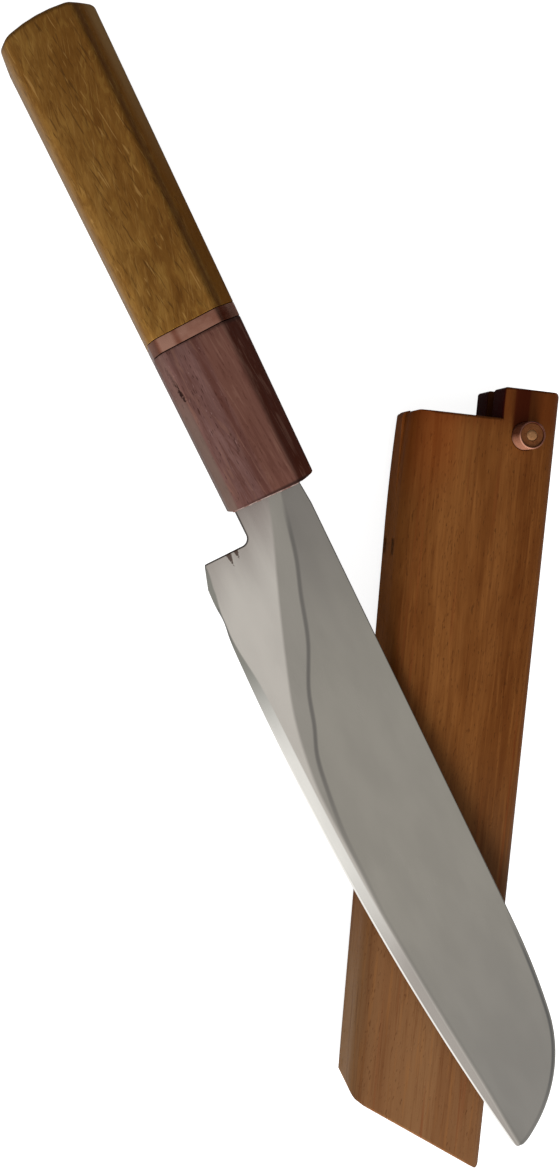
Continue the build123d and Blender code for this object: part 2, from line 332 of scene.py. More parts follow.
class Graph:
    """Builds one node tree: each call adds a node and wires its inputs."""

    def __init__(self, tree: bpy.types.NodeTree) -> None:
        """Takes the tree to build in."""
        self.tree = tree

    def add(self, kind: str, inputs: dict | None = None, **settings: object) -> bpy.types.Node:
        """Adds one node.

        Args:
            kind: The node's type name.
            inputs: Values or sockets for its inputs, by name or number.
            **settings: The node's own settings.

        Returns:
            The node.
        """
        node = self.tree.nodes.new(kind)
        for name, value in settings.items():
            setattr(node, name, value)
        for key, value in (inputs or {}).items():
            if isinstance(value, Socket):
                self.tree.links.new(value, node.inputs[key])
            else:
                node.inputs[key].default_value = value
        return node

    def math(self, operation: str, a: Level, b: Level = 0.0, clamp: bool = False) -> Socket:
        """One sum on two values, held between 0 and 1 if clamped."""
        return self.add("ShaderNodeMath", {0: a, 1: b}, operation=operation, use_clamp=clamp).outputs[0]

    def plus(self, a: Level, b: Level, clamp: bool = False) -> Socket:
        """The sum of two values, held between 0 and 1 if clamped."""
        return self.math("ADD", a, b, clamp)

    def minus(self, a: Level, b: Level) -> Socket:
        """The first value less the second."""
        return self.math("SUBTRACT", a, b)

    def times(self, a: Level, b: Level) -> Socket:
        """The product of two values."""
        return self.math("MULTIPLY", a, b)

    def swing(self, noise: Socket, amount: Level) -> Socket:
        """A noise of 0 to 1 as a swing either side of 0."""
        return self.times(self.minus(noise, 0.5), amount)

    def gap(self, value: Socket, middle: float) -> Socket:
        """How far a value is from a middle, either way."""
        return self.math("ABSOLUTE", self.minus(value, middle))

    def span(self, value: Socket, low: float, high: float, to_low: float = 0.0, to_high: float = 1.0) -> Socket:
        """A smooth step of a value from one range to another.

        Args:
            value: The value.
            low: Where the step starts.
            high: Where it ends.
            to_low: The result at the start.
            to_high: The result at the end.

        Returns:
            The result's socket.
        """
        inputs = {0: value, 1: low, 2: high, 3: to_low, 4: to_high}
        return self.add("ShaderNodeMapRange", inputs, interpolation_type="SMOOTHSTEP").outputs[0]

    def vary(self, noise: Socket, low: float, high: float, tail: float = 0.2) -> Socket:
        """A noise as a value from low to high, level over a tail at each end of its range."""
        return self.span(noise, tail, 1.0 - tail, low, high)

    def mix(self, factor: Level, a: object, b: object, blend: str = "MIX") -> Socket:
        """A mix of two colours, the factor giving how much of the second."""
        return self.add("ShaderNodeMix", {0: factor, 6: a, 7: b}, data_type="RGBA", blend_type=blend).outputs[2]

    def paint(self, colour: Socket, shade: Colour, amount: Level) -> Socket:
        """A colour with a shade laid over it."""
        return self.mix(amount, colour, linear(shade))

    def vector(self, x: Level = 0.0, y: Level = 0.0, z: Level = 0.0) -> Socket:
        """A vector from its three parts."""
        return self.add("ShaderNodeCombineXYZ", {0: x, 1: y, 2: z}).outputs[0]

    def dim(self, colour: Socket, level: Socket) -> Socket:
        """A colour made darker or lighter by a level about 1."""
        return self.mix(1.0, colour, self.vector(level, level, level), "MULTIPLY")

    def noise(
        self, place: Socket, scale: tuple[float, float, float], detail: float = 3.0, roughness: float = 0.5,
        warp: float = 0.0, turn: float = 0.0
    ) -> Socket:
        """Soft noise from 0 to 1, stretched along each axis.

        Args:
            place: The coordinates.
            scale: How often it repeats in a millimetre, one figure an axis.
            detail: How many octaves.
            roughness: How strong the fine octaves are.
            warp: How far the pattern is distorted.
            turn: Degrees about the third axis, turned before the stretch.

        Returns:
            The noise's socket.
        """
        if turn:
            tilt = (0.0, 0.0, math.radians(turn))
            place = self.add("ShaderNodeMapping", {"Vector": place, "Rotation": tilt}).outputs[0]
        inputs = {
            "Vector": self.add("ShaderNodeMapping", {"Vector": place, "Scale": scale}).outputs[0],
            "Scale": 1.0, "Detail": detail, "Roughness": roughness, "Distortion": warp,
        }
        return self.add("ShaderNodeTexNoise", inputs).outputs[0]

    def ramp(
        self, value: Socket, stops: Sequence[tuple[float, tuple[float, ...]]], interpolation: str = "LINEAR"
    ) -> Socket:
        """A colour ramp.

        Args:
            value: What it reads.
            stops: Places and linear colours, in order.
            interpolation: How it runs from stop to stop.

        Returns:
            The colour's socket.
        """
        node = self.add("ShaderNodeValToRGB", {0: value})
        node.color_ramp.interpolation = interpolation
        elements = node.color_ramp.elements
        while len(elements) < len(stops):
            elements.new(1.0)
        for element, (place, colour) in zip(elements, stops):
            element.position = place
            element.color = colour
        return node.outputs[0]

    def profile(self, value: Socket, places: Sequence[Point2]) -> Socket:
        """A level read off a smooth line through named places.

        Args:
            value: What it reads.
            places: Pairs of place and level from 0 to 1, in order of place.

        Returns:
            The level's socket.
        """
        low, high = places[0][0], places[-1][0]
        share = self.math("DIVIDE", self.minus(value, low), high - low, clamp=True)
        return self.ramp(share, [((p - low) / (high - low), (v, v, v, 1.0)) for p, v in places], "EASE")

    def parts(self, vector: Socket) -> tuple[Socket, Socket, Socket]:
        """The three parts of a vector."""
        node = self.add("ShaderNodeSeparateXYZ", {0: vector})
        return node.outputs[0], node.outputs[1], node.outputs[2]

    def relief(self, height: Socket, depth: float) -> Socket:
        """The normal of a surface raised by a height of 0 to 1, its depth in millimetres."""
        return self.add("ShaderNodeBump", {"Height": height, "Distance": depth * MM, "Strength": 1.0}).outputs[0]


def path_tree(name: str, sizes: dict[str, float]) -> tuple[Graph, Socket, dict[str, Socket]]:
    """Starts a Geometry Nodes tree that makes a piece along a path.

    Args:
        name: The tree's name.
        sizes: Its sizes by name, which become its inputs.

    Returns:
        Its graph, the path as a curve, and its inputs by name.
    """
    tree = bpy.data.node_groups.new(name, "GeometryNodeTree")
    face = tree.interface
    face.new_socket("Path", in_out="INPUT", socket_type="NodeSocketGeometry")
    for key, size in sizes.items():
        face.new_socket(key, in_out="INPUT", socket_type="NodeSocketFloat").default_value = size
    face.new_socket("Finish", in_out="INPUT", socket_type="NodeSocketMaterial")
    face.new_socket("Piece", in_out="OUTPUT", socket_type="NodeSocketGeometry")
    graph = Graph(tree)
    given = graph.add("NodeGroupInput").outputs
    return graph, graph.add("GeometryNodeMeshToCurve", {0: given["Path"]}).outputs[0], given


def end_tree(graph: Graph, piece: Socket, finish: Socket) -> bpy.types.NodeTree:
    """Ends a Geometry Nodes tree in a plain piece with its finish.

    Args:
        graph: The tree's graph.
        piece: The geometry made.
        finish: The input that holds the material.

    Returns:
        The node tree.
    """
    real = graph.add("GeometryNodeRealizeInstances", {0: piece}).outputs[0]
    graph.add("NodeGroupOutput", {
        0: graph.add("GeometryNodeSetMaterial", {"Geometry": real, "Material": finish}).outputs[0]})
    return graph.tree


@dataclass(frozen=True)
class KnifeFrame:
    """Where the knife rests: turned in plan and tilted up towards the tip."""

    origin: tuple[float, float, float] = (-52.0726, 69.4, 17.0961)
    turn: float = 31.25
    tilt: float = 5.5436

    def matrix(self) -> Matrix:
        """Knife frame to row frame, both in millimetres.

        Returns:
            The frame's matrix, in millimetres.
        """
        turn, tilt = math.radians(self.turn), math.radians(self.tilt)
        across = Vector((math.cos(tilt), 0, math.sin(tilt)))
        normal = Vector((-math.sin(tilt), 0, math.cos(tilt)))
        along = across * math.sin(turn) - Vector((0, 1, 0)) * math.cos(turn)
        spine = normal.cross(along)
        turned = Matrix((along, spine, normal)).transposed()
        return Matrix.Translation(self.origin) @ turned.to_4x4()


KNIFE_FRAME = KnifeFrame().matrix()
SAYA_FRAME = Matrix.Rotation(math.radians(90), 4, "Z")
UPRIGHT_FRAME = Matrix.Rotation(math.radians(-90), 4, "Y")
# Turns the pin copper's pattern so that its painted highlight lies on the lower left.
PAINTED_HIGHLIGHT_TURN = Matrix.Rotation(math.radians(-35), 4, "Z")
PIN_FRAME = Matrix.Translation((*PIN_CENTRE, 0.0)) @ PAINTED_HIGHLIGHT_TURN @ UPRIGHT_FRAME


class Axis(Enum):
    """The directions of a finish's own frame."""

    ALONG = 0
    ACROSS = 1
    UP = 2


ALONG, ACROSS, UP = Axis


@dataclass(frozen=True)
class Reach:
    """How a mark comes in from clear to full along an axis, or towards a middle on it."""

    axis: Axis
    clear: float
    full: float
    middle: float | None = None
    least: float = 0.0

    def level(self, graph: Graph, place: Socket) -> Socket:
        """How much of the mark shows.

        Args:
            graph: The material's graph.
            place: Coordinates in millimetres.

        Returns:
            A level from the least to 1.
        """
        value = graph.parts(place)[self.axis.value]
        if self.middle is not None:
            value = graph.gap(value, self.middle)
        return graph.span(value, self.clear, self.full, self.least)


@dataclass(frozen=True)
class Mark:
    """A shade laid over part of a surface, even unless it has a pattern."""

    name: str
    shade: Colour
    amount: float = 1.0
    reaches: tuple[Reach, ...] = ()

    def pattern(self, graph: Graph, place: Socket) -> Level:
        """The mark's own pattern from 0 to 1."""
        return 1.0

    def tone(self, graph: Graph, place: Socket) -> object:
        """The mark's colour."""
        return linear(self.shade)

    def lay(self, graph: Graph, place: Socket, colour: Socket) -> Socket:
        """Lays the mark over a colour.

        Args:
            graph: The material's graph.
            place: Coordinates in millimetres.
            colour: The colour so far.

        Returns:
            The colour with the mark.
        """
        factor = self.pattern(graph, place)
        for reach in self.reaches:
            factor = graph.times(factor, reach.level(graph, place))
        covered = graph.mix(graph.times(factor, self.amount), colour, self.tone(graph, place))
        covered.node.label = self.name
        return covered


@dataclass(frozen=True)
class Flecks(Mark):
    """Streaks, flecks or fissures, from noise drawn out along the grain."""

    long: float = 0.1
    fine: float = 1.0
    clear: float = 0.6
    full: float = 0.7
    turn: float = 0.0
    detail: float = 1.0
    roughness: float = 0.5
    warp: float = 0.0

    def pattern(self, graph: Graph, place: Socket) -> Level:
        """Where the noise passes its limit.

        Args:
            graph: The material's graph.
            place: Coordinates in millimetres.

        Returns:
            A level from 0 to 1.
        """
        scale = (self.long, self.fine, self.fine)
        noise = graph.noise(place, scale, self.detail, self.roughness, self.warp, self.turn)
        return graph.span(noise, self.clear, self.full)


@dataclass(frozen=True)
class Ticks(Mark):
    """Short dark ticks that gather in rows."""

    row_swing: float = 0.3
    turn: float = 9.0

    def pattern(self, graph: Graph, place: Socket) -> Level:
        """Where the ticks are.

        Args:
            graph: The material's graph.
            place: Coordinates in millimetres.

        Returns:
            A level from 0 to 1.
        """
        rows = graph.noise(place, (0.02, 0.25, 0.25), 1.0)
        ticks = graph.noise(place, (0.55, 2.2, 2.2), 1.0, turn=self.turn)
        return graph.span(graph.plus(ticks, graph.swing(rows, self.row_swing)), 0.66, 0.76)


@dataclass(frozen=True)
class Nick(Mark):
    """A ragged nick in the wood."""

    start: float = 0.0
    side: float = 0.0
    length: float = 1.0
    half: float = 0.5
    lean: float = 0.1
    ragged: float = 2.6

    def pattern(self, graph: Graph, place: Socket) -> Level:
        """A leaning oval with an uneven rim.

        Args:
            graph: The material's graph.
            place: Coordinates in millimetres.

        Returns:
            A level from 0 to 1.
        """
        along, across, _ = graph.parts(place)
        ahead = graph.minus(along, self.start)
        aside = graph.minus(graph.minus(across, self.side), graph.times(ahead, self.lean))
        oval = graph.vector(graph.math("DIVIDE", ahead, self.length), graph.math("DIVIDE", aside, self.half))
        gap = graph.add("ShaderNodeVectorMath", {0: oval}, operation="LENGTH").outputs["Value"]
        rim = graph.swing(graph.noise(place, (2.0, 2.0, 2.0), 2.0), self.ragged)
        return graph.span(graph.plus(gap, rim), 1.0, 0.5)


@dataclass(frozen=True)
class PaleEndBands(Mark):
    """Timber paler towards the closed end in uneven lengthwise bands, between its shade and a darker one."""

    dark: Colour = (98, 65, 40)
    swing: float = 0.9
    # Towards across 19, the saya's left edge, the tones rise as painted light on that side.
    tones: tuple[Point2, ...] = (
        (-19.0, 0.6), (-13.0, 0.35), (-8.0, 0.25), (-4.6, 0.3), (-3.9, 0.75), (0.0, 0.85), (6.0, 0.7), (11.0, 0.4),
        (16.0, 0.5), (19.0, 0.8),
    )

    def tone(self, graph: Graph, place: Socket) -> object:
        """The paler bands' colour.

        Args:
            graph: The material's graph.
            place: Coordinates in millimetres.

        Returns:
            The colour's socket.
        """
        rough = graph.swing(graph.noise(place, (0.012, 0.5, 0.5)), self.swing)
        level = graph.plus(graph.profile(graph.parts(place)[1], self.tones), rough, clamp=True)
        return graph.mix(level, linear(self.dark), linear(self.shade))


@dataclass(frozen=True)
class PaintedSideLight(Mark):
    """Painted light on the saya's left wall, paler still towards the closed end."""

    far_shade: Colour = (156, 118, 82)
    turnover: Reach = Reach(ALONG, -10, -60)

    def tone(self, graph: Graph, place: Socket) -> object:
        """The painted light's colour."""
        return graph.mix(self.turnover.level(graph, place), linear(self.shade), linear(self.far_shade))


@dataclass(frozen=True)
class Finish:
    """A surface finish whose pattern lies in a frame of its own, X along the grain."""

    name: str
    grain_frame: Matrix = field(default_factory=lambda: KNIFE_FRAME)

    def place(self, graph: Graph) -> Socket:
        """Coordinates in millimetres in the finish's own frame.

        Args:
            graph: The material's graph.

        Returns:
            The coordinates' socket.
        """
        shift, turn, _ = self.grain_frame.decompose()
        inputs = {
            "Vector": graph.add("ShaderNodeTexCoord").outputs["Object"],
            "Location": tuple(shift * MM),
            "Rotation": tuple(turn.to_euler("XYZ")),
            "Scale": (MM, MM, MM),
        }
        return graph.add("ShaderNodeMapping", inputs, vector_type="TEXTURE").outputs[0]

    def inputs(self, graph: Graph, place: Socket) -> dict[str, object]:
        """The shader's inputs.

        Args:
            graph: The material's graph.
            place: Coordinates in millimetres.

        Returns:
            Values or sockets by the input's name.
        """
        raise NotImplementedError

    def make(self) -> bpy.types.Material:
        """Builds the material round one shader.

        Returns:
            The material.
        """
        material = bpy.data.materials.new(self.name)
        material.use_nodes = True
        material.node_tree.nodes.clear()
        graph = Graph(material.node_tree)
        shader = graph.add("ShaderNodeBsdfPrincipled", self.inputs(graph, self.place(graph)))
        graph.add("ShaderNodeOutputMaterial", {0: shader.outputs[0]})
        return material


@dataclass(frozen=True)
class Wood(Finish):
    """An oiled timber: broad bands, grain lines, fibres and open pores along one axis, and its own marks."""

    dark: Colour = (70, 40, 18)
    middle: Colour = (110, 70, 32)
    light: Colour = (140, 95, 50)
    tones: tuple[Point2, ...] = ((-10.0, 0.5), (10.0, 0.5))
    band_width: float = 7.0
    band_swing: float = 0.9
    grain_width: float = 1.1
    grain_swing: float = 0.9
    grain_length: float = 70.0
    fibre_width: float = 0.25
    fibre_swing: float = 0.1
    pore_width: float = 0.22
    pore_length: float = 3.2
    pore_share: float = 0.3
    pore_depth: float = 0.5
    mottle: float = 0.0
    mottle_turn: float = 22.0
    pore_colour: Colour = (48, 26, 10)
    roughness: float = 0.45
    gloss: float = 0.06
    relief: float = 0.035
    marks: tuple[Mark, ...] = ()

    def figure(self, graph: Graph, place: Socket, wandering: Socket) -> Socket:
        """The timber's bands, lines and mottle.

        Args:
            graph: The material's graph.
            place: Coordinates in millimetres.
            wandering: The same, drifting as the grain does.

        Returns:
            The colour's socket.
        """
        long, band, line = 1 / self.grain_length, 1 / self.band_width, 1 / self.grain_width
        bands = graph.noise(wandering, (long * 0.5, band, band), 2.0, 0.5, 0.3)
        lines = graph.noise(wandering, (long * 1.4, line, line), 3.0, 0.62)
        swings = graph.plus(graph.swing(bands, self.band_swing), graph.swing(lines, self.grain_swing))
        if self.mottle:
            patches = graph.noise(place, (0.09, 0.3, 0.3), 3.0, 0.55, 0.7, self.mottle_turn)
            swings = graph.plus(swings, graph.swing(patches, self.mottle))
        level = graph.plus(graph.profile(graph.parts(wandering)[1], self.tones), swings, clamp=True)
        return graph.ramp(level, [(0.0, linear(self.dark)), (0.5, linear(self.middle)), (1.0, linear(self.light))])

    def inputs(self, graph: Graph, place: Socket) -> dict[str, object]:
        """The shader's inputs.

        Args:
            graph: The material's graph.
            place: Coordinates in millimetres.

        Returns:
            Values or sockets by the input's name.
        """
        long, fibre, pore = 1 / self.grain_length, 1 / self.fibre_width, 1 / self.pore_width
        drift = graph.noise(place, (long, long * 3, long * 3), 1.0)
        drift = graph.vector(0.0, graph.vary(drift, -1.6, 1.6), graph.vary(drift, -0.8, 0.8, 0.3))
        wandering = graph.add("ShaderNodeVectorMath", {0: place, 1: drift}, operation="ADD").outputs[0]
        fibres = graph.noise(wandering, (long * 7, fibre, fibre), 2.0, 0.6)
        fine = graph.span(fibres, 0.25, 0.75, 1 - self.fibre_swing, 1 + self.fibre_swing)
        colour = graph.dim(self.figure(graph, place, wandering), fine)
        pores = graph.noise(wandering, (1 / self.pore_length, pore, pore), 0.0)
        pores = graph.span(pores, self.pore_share, self.pore_share - 0.09)
        colour = graph.paint(colour, self.pore_colour, graph.times(pores, self.pore_depth))
        for mark in self.marks:
            colour = mark.lay(graph, place, colour)
        cloud = graph.noise(place, (0.05, 0.12, 0.12))
        sheen = graph.vary(cloud, self.roughness - 0.07, self.roughness + 0.08, 0.3)
        return {
            "Base Color": colour,
            "Roughness": graph.plus(sheen, graph.times(pores, 0.2)),
            "Specular IOR Level": self.gloss,
            "Normal": graph.relief(graph.minus(graph.times(fibres, 0.35), pores), self.relief),
        }


@dataclass(frozen=True)
class Copper(Finish):
    """Brushed copper with darkened patches; the tones laid across it paint highlight, shade and reflections."""

    bright: Colour = (150, 112, 97)
    tarnish_and_shade: Colour = (96, 56, 42)
    tones: tuple[Point2, ...] = ((-10.0, 0.3), (10.0, 0.3))
    patch_swing: float = 0.8
    roughness: float = 0.3
    metal: float = 1.0

    def inputs(self, graph: Graph, place: Socket) -> dict[str, object]:
        """The shader's inputs.

        Args:
            graph: The material's graph.
            place: Coordinates in millimetres.

        Returns:
            Values or sockets by the input's name.
        """
        patches = graph.swing(graph.noise(place, (0.5, 0.35, 0.35), 4.0, 0.6), self.patch_swing)
        brushed = graph.noise(place, (9.0, 0.4, 0.4), 2.0, 0.6)
        # Darkened patches and the tones' painted shade, from bright copper to dark.
        tarnish_and_shade_level = graph.plus(graph.profile(graph.parts(place)[1], self.tones), patches, clamp=True)
        return {
            "Base Color": graph.mix(tarnish_and_shade_level, linear(self.bright), linear(self.tarnish_and_shade)),
            "Metallic": self.metal,
            "Roughness": graph.vary(brushed, self.roughness - 0.08, self.roughness + 0.1),
            "Normal": graph.relief(brushed, 0.006),
        }


@dataclass(frozen=True)
class Rust(Mark):
    """A rust mark that runs out to a point from the heel."""

    start: float = 8.2
    side: float = -15.5
    length: float = 3.4
    half: float = 0.8
    ragged: float = 0.8
    soft: float = 0.5

    def pattern(self, graph: Graph, place: Socket) -> Level:
        """A ragged wedge, widest at the heel.

        Args:
            graph: The material's graph.
            place: Coordinates in millimetres.

        Returns:
            A level from 0 to 1.
        """
        along, across, _ = graph.parts(place)
        aside = graph.times(graph.gap(across, self.side), self.length / self.half)
        reach = graph.plus(aside, graph.minus(along, self.start))
        rough = graph.vary(graph.noise(place, (2.5, 4.0, 2.5)), -self.ragged, self.ragged)
        return graph.span(graph.plus(reach, rough), self.length, self.length - self.soft)


@dataclass(frozen=True)
class Steel(Finish):
    """The blade's polished steel: flat, ground side and bevel, with a painted glint as a bright line at the very edge,
    and a painted dark reflection along the spine near the nose.

    The pairs called start and end are places along the blade where a shade comes in or runs out. Those called
    blend are distances from a line, clear and full.
    """

    flat: Colour = (150, 146, 138)
    near_flat: Colour = (130, 126, 121)
    far_flat: Colour = (139, 136, 131)
    mid: Colour = (150, 146, 139)
    ground: Colour = (194, 189, 182)
    neck: Colour = (142, 132, 127)
    line: Colour = (112, 109, 105)
    # The bevel's pale shades are partly painted reflection: the same steel made whiter where it faces the light.
    bevel: Colour = (232, 230, 225)
    far_bevel: Colour = (172, 166, 160)
    edge_glint: Colour = (252, 250, 246)
    heel_facet: Colour = (140, 139, 132)
    patina: Colour = (62, 56, 50)
    nose_dark_reflection: Colour = (70, 72, 74)
    near_flat_end: Point2 = (4, 52)
    far_flat_start: Point2 = (90, 175)
    neck_end: Point2 = (-4, 22)
    line_start: Point2 = (1, 12)
    line_end: Point2 = (96, 58)
    bevel_start: Point2 = (31, 60)
    far_bevel_start: Point2 = (88, 126)
    edge_glint_start: Point2 = (45, 75)
    nose_start: Point2 = (118, 134)
    nose_end: Point2 = (176, 160)
    nose_inset: float = 0.75
    line_least: float = 0.25
    nose_least: float = 0.35
    nose_amount: float = 0.7
    patina_amount: float = 0.85
    mid_blend: Point2 = (0.35, -0.35)
    ground_blend: Point2 = (0.5, -0.5)
    line_blend: Point2 = (0.85, 0.15)
    bevel_blend: Point2 = (0.25, -0.25)
    edge_glint_blend: Point2 = (0.5, 0.3)
    patina_blend: Point2 = (0.42, 0.2)
    nose_blend: Point2 = (0.6, 0.1)
    sheen_swing: float = 16.0
    roughness: float = 0.22
    rust: tuple[Mark, ...] = (
        Rust("lower rust", (62, 40, 28), 0.85, side=-15.5, length=3.4, half=0.8),
        Rust("upper rust", (62, 40, 28), 0.85, side=-13.6, length=2.6, half=0.65),
    )

    def shades(self, graph: Graph, place: Socket) -> Socket:
        """The colour, laid by the distances that the mesh carries.

        Args:
            graph: The material's graph.
            place: Coordinates in millimetres.

        Returns:
            The colour's socket.
        """
        above_line, above_ground, above_bevel, from_edge, from_heel, from_nose = (
            graph.add("ShaderNodeAttribute", attribute_name=name).outputs["Fac"] for name in Blade.carried)
        along = graph.parts(place)[0]
        level = graph.plus(along, graph.swing(graph.noise(place, (0.012, 0.22, 0.22), 2.0), self.sheen_swing))
        flat = graph.mix(graph.span(level, *self.near_flat_end), linear(self.near_flat), linear(self.flat))
        flat = graph.paint(flat, self.far_flat, graph.span(level, *self.far_flat_start))
        colour = graph.paint(flat, self.mid, graph.span(above_line, *self.mid_blend))
        ground = graph.mix(graph.span(level, *self.neck_end), linear(self.neck), linear(self.ground))
        colour = graph.mix(graph.span(above_ground, *self.ground_blend), colour, ground)
        fade = graph.times(graph.span(along, *self.line_start), graph.span(along, *self.line_end, self.line_least))
        on_line = graph.span(graph.gap(above_line, 0.0), *self.line_blend)
        colour = graph.paint(colour, self.line, graph.times(on_line, fade))
        facet = graph.mix(graph.span(along, *self.bevel_start), linear(self.heel_facet), linear(self.bevel))
        facet = graph.paint(facet, self.far_bevel, graph.span(along, *self.far_bevel_start))
        colour = graph.mix(graph.span(above_bevel, *self.bevel_blend), colour, facet)
        # Painted glint along the very edge.
        edge_glint_level = graph.times(graph.span(from_edge, *self.edge_glint_blend), graph.span(along, *self.edge_glint_start))
        colour = graph.paint(colour, self.edge_glint, edge_glint_level)
        colour = graph.paint(colour, self.patina, graph.span(from_heel, *self.patina_blend, 0.0, self.patina_amount))
        # Painted dark reflection along the spine near the nose.
        fade = graph.times(graph.span(along, *self.nose_start), graph.span(along, *self.nose_end, self.nose_least))
        on_line = graph.span(graph.gap(from_nose, self.nose_inset), *self.nose_blend, 0.0, self.nose_amount)
        return graph.paint(colour, self.nose_dark_reflection, graph.times(on_line, fade))

    def inputs(self, graph: Graph, place: Socket) -> dict[str, object]:
        """The shader's inputs.

        Args:
            graph: The material's graph.
            place: Coordinates in millimetres.

        Returns:
            Values or sockets by the input's name.
        """
        colour = self.shades(graph, place)
        for rust in self.rust:
            colour = rust.lay(graph, place, colour)
        blotch = graph.vary(graph.noise(place, (0.05, 0.14, 0.14)), 0.955, 1.035, 0.3)
        strokes = graph.noise(place, (0.08, 5.0, 5.0), 3.0, 0.6)
        clouds = graph.noise(place, (0.03, 0.05, 0.05))
        return {
            "Base Color": graph.dim(colour, blotch),
            "Metallic": 1.0,
            "Roughness": graph.plus(
                graph.vary(strokes, -0.03, 0.03),
                graph.vary(clouds, self.roughness - 0.03, self.roughness + 0.03, 0.3)),
            "Normal": graph.relief(strokes, 0.0012),
        }


@dataclass(frozen=True)
class Glue(Finish):
    """The bead of pale glue round the neck."""

    pale: Colour = (126, 108, 102)
    pink: Colour = (92, 60, 52)

    def inputs(self, graph: Graph, place: Socket) -> dict[str, object]:
        """The shader's inputs.

        Args:
            graph: The material's graph.
            place: Coordinates in millimetres.

        Returns:
            Values or sockets by the input's name.
        """
        patches = graph.span(graph.noise(place, (0.6, 0.35, 0.6)), 0.45, 0.6)
        grit = graph.noise(place, (6.0, 6.0, 6.0), 2.0)
        return {
            "Base Color": graph.mix(patches, linear(self.pale), linear(self.pink)),
            "Roughness": graph.vary(grit, 0.45, 0.65),
            "Normal": graph.relief(grit, 0.02),
        }


@dataclass(frozen=True)
class FloorFinish(Finish):
    """A plain pale floor with the faintest mottling."""

    white: Colour = (255, 255, 255)
    pale: Colour = (176, 176, 176)
    shade: Colour = (170, 170, 171)
    glow: float = 0.86

    def inputs(self, graph: Graph, place: Socket) -> dict[str, object]:
        """The shader's inputs.

        Args:
            graph: The material's graph.
            place: Coordinates in millimetres.

        Returns:
            Values or sockets by the input's name.
        """
        mottle = graph.noise(place, (0.02, 0.02, 0.02), 2.0)
        seen = graph.add("ShaderNodeLightPath").outputs["Is Camera Ray"]
        return {
            "Base Color": graph.mix(mottle, linear(self.pale), linear(self.shade)),
            "Roughness": graph.vary(mottle, 0.75, 0.85, 0.3),
            "Emission Color": linear(self.white),
            "Emission Strength": graph.times(seen, self.glow),
        }


SAYA_MARKS = (
    # Paler towards the closed end, with painted light at its left edge.
    PaleEndBands("paler closed end", (113, 81, 53), 0.88, (Reach(ALONG, 20, -52),)),
    # Painted light on the saya's left wall.
    PaintedSideLight("painted light on the side wall", (138, 82, 36), 0.82, (Reach(UP, 18.0, 12.6), Reach(ACROSS, 12.0, 16.0))),
    Flecks("broad streaks", (98, 44, 18), 0.45, long=0.009, fine=0.42, full=0.72, detail=2.0, roughness=0.55),
    *(
        Flecks(name, shade, amount, long=1 / length, fine=fine, clear=low, full=low + 0.13, detail=3.0,
               roughness=0.62, warp=0.25)
        for name, shade, amount, length, fine, low in (
            ("dark streaks", (74, 36, 12), 0.27, 34.0, 1.2, 0.52),
            ("light streaks", (134, 86, 42), 0.2, 30.0, 0.9, 0.54),
            ("short streaks", (74, 36, 12), 0.24, 9.0, 2.4, 0.55))
    ),
    Ticks("ticks", (58, 28, 10), 0.42),
    Mark("tongue", (80, 37, 11), 0.75, (Reach(ALONG, 88.3, 95.3),)),
    Mark("corner of the mouth", (110, 46, 10), 0.34, (Reach(ACROSS, 4.0, 10.0), Reach(ALONG, 66, 88))),
    # Painted shadow that the pin casts up the tongue.
    Mark("painted shadow of the pin", (60, 9, 2), 0.72, (Reach(ACROSS, 2.3, 1.6, -8.5), Reach(ALONG, 87.8, 89.2))),
    # Painted shade on the tongue's step wall.
    Mark("painted shade on the tongue's wall", (48, 8, 5), 1.0, (Reach(ACROSS, 0.35, 0.12, -3.7), Reach(ALONG, 93.0, 93.3))),
    # Painted shade inside the open slot between the boards.
    Mark("painted shade inside the slot", (14, 4, 3), 1.0, (
        Reach(UP, 2.25, 2.15, 9.5), Reach(ACROSS, 14.0, 12.0, 0.0), Reach(ALONG, 60, 90))),
)

REAR_MARKS = (
    Mark("butt", (88, 56, 18), 0.4, (Reach(ALONG, -70, -117),)),
    *(
        Flecks(name, shade, amount, long=0.16, fine=0.5, clear=clear, full=full, turn=12, detail=3.0,
               roughness=0.6, warp=1.2)
        for name, shade, amount, clear, full in (
            ("dark figure", (84, 52, 14), 0.34, 0.5, 0.42), ("light figure", (126, 94, 42), 0.3, 0.54, 0.64))
    ),
    *(
        Flecks(name, shade, amount, long=0.17, fine=fine, clear=low, full=low + 0.1, turn=turn, roughness=0.6,
               warp=0.4)
        for name, shade, amount, fine, low, turn in (
            ("light flecks", (146, 112, 62), 0.22, 3.3, 0.6, 17), ("dark flecks", (62, 38, 12), 0.26, 3.3, 0.6, 14),
            ("dark fissures", (62, 38, 12), 0.6, 1.7, 0.62, -9), ("light fissures", (146, 112, 62), 0.5, 1.6, 0.65, -6),
            ("slanting fissures", (62, 38, 12), 0.5, 1.8, 0.64, 6))
    ),
    # Painted shade on the spine-side chamfer, darker and redder.
    Mark("painted shade on the far side", (106, 62, 6), 0.6, (Reach(ACROSS, 7.8, 8.8),)),
    Mark("far chamfer", (136, 108, 70), 0.6, (Reach(ACROSS, 8.4, 10.6), Reach(ALONG, -60, -112))),
    # Painted sheen on the edge-side chamfer, lighter and greyer.
    Mark("painted sheen on the near side", (148, 128, 104), 0.45, (Reach(ACROSS, -10.3, -11.9),)),
    # Painted dark reflection along the spine-side arris.
    Mark("painted dark reflection along the arris", (70, 34, 8), 0.45, (Reach(ACROSS, 0.8, 0.1, 7.4),)),
)

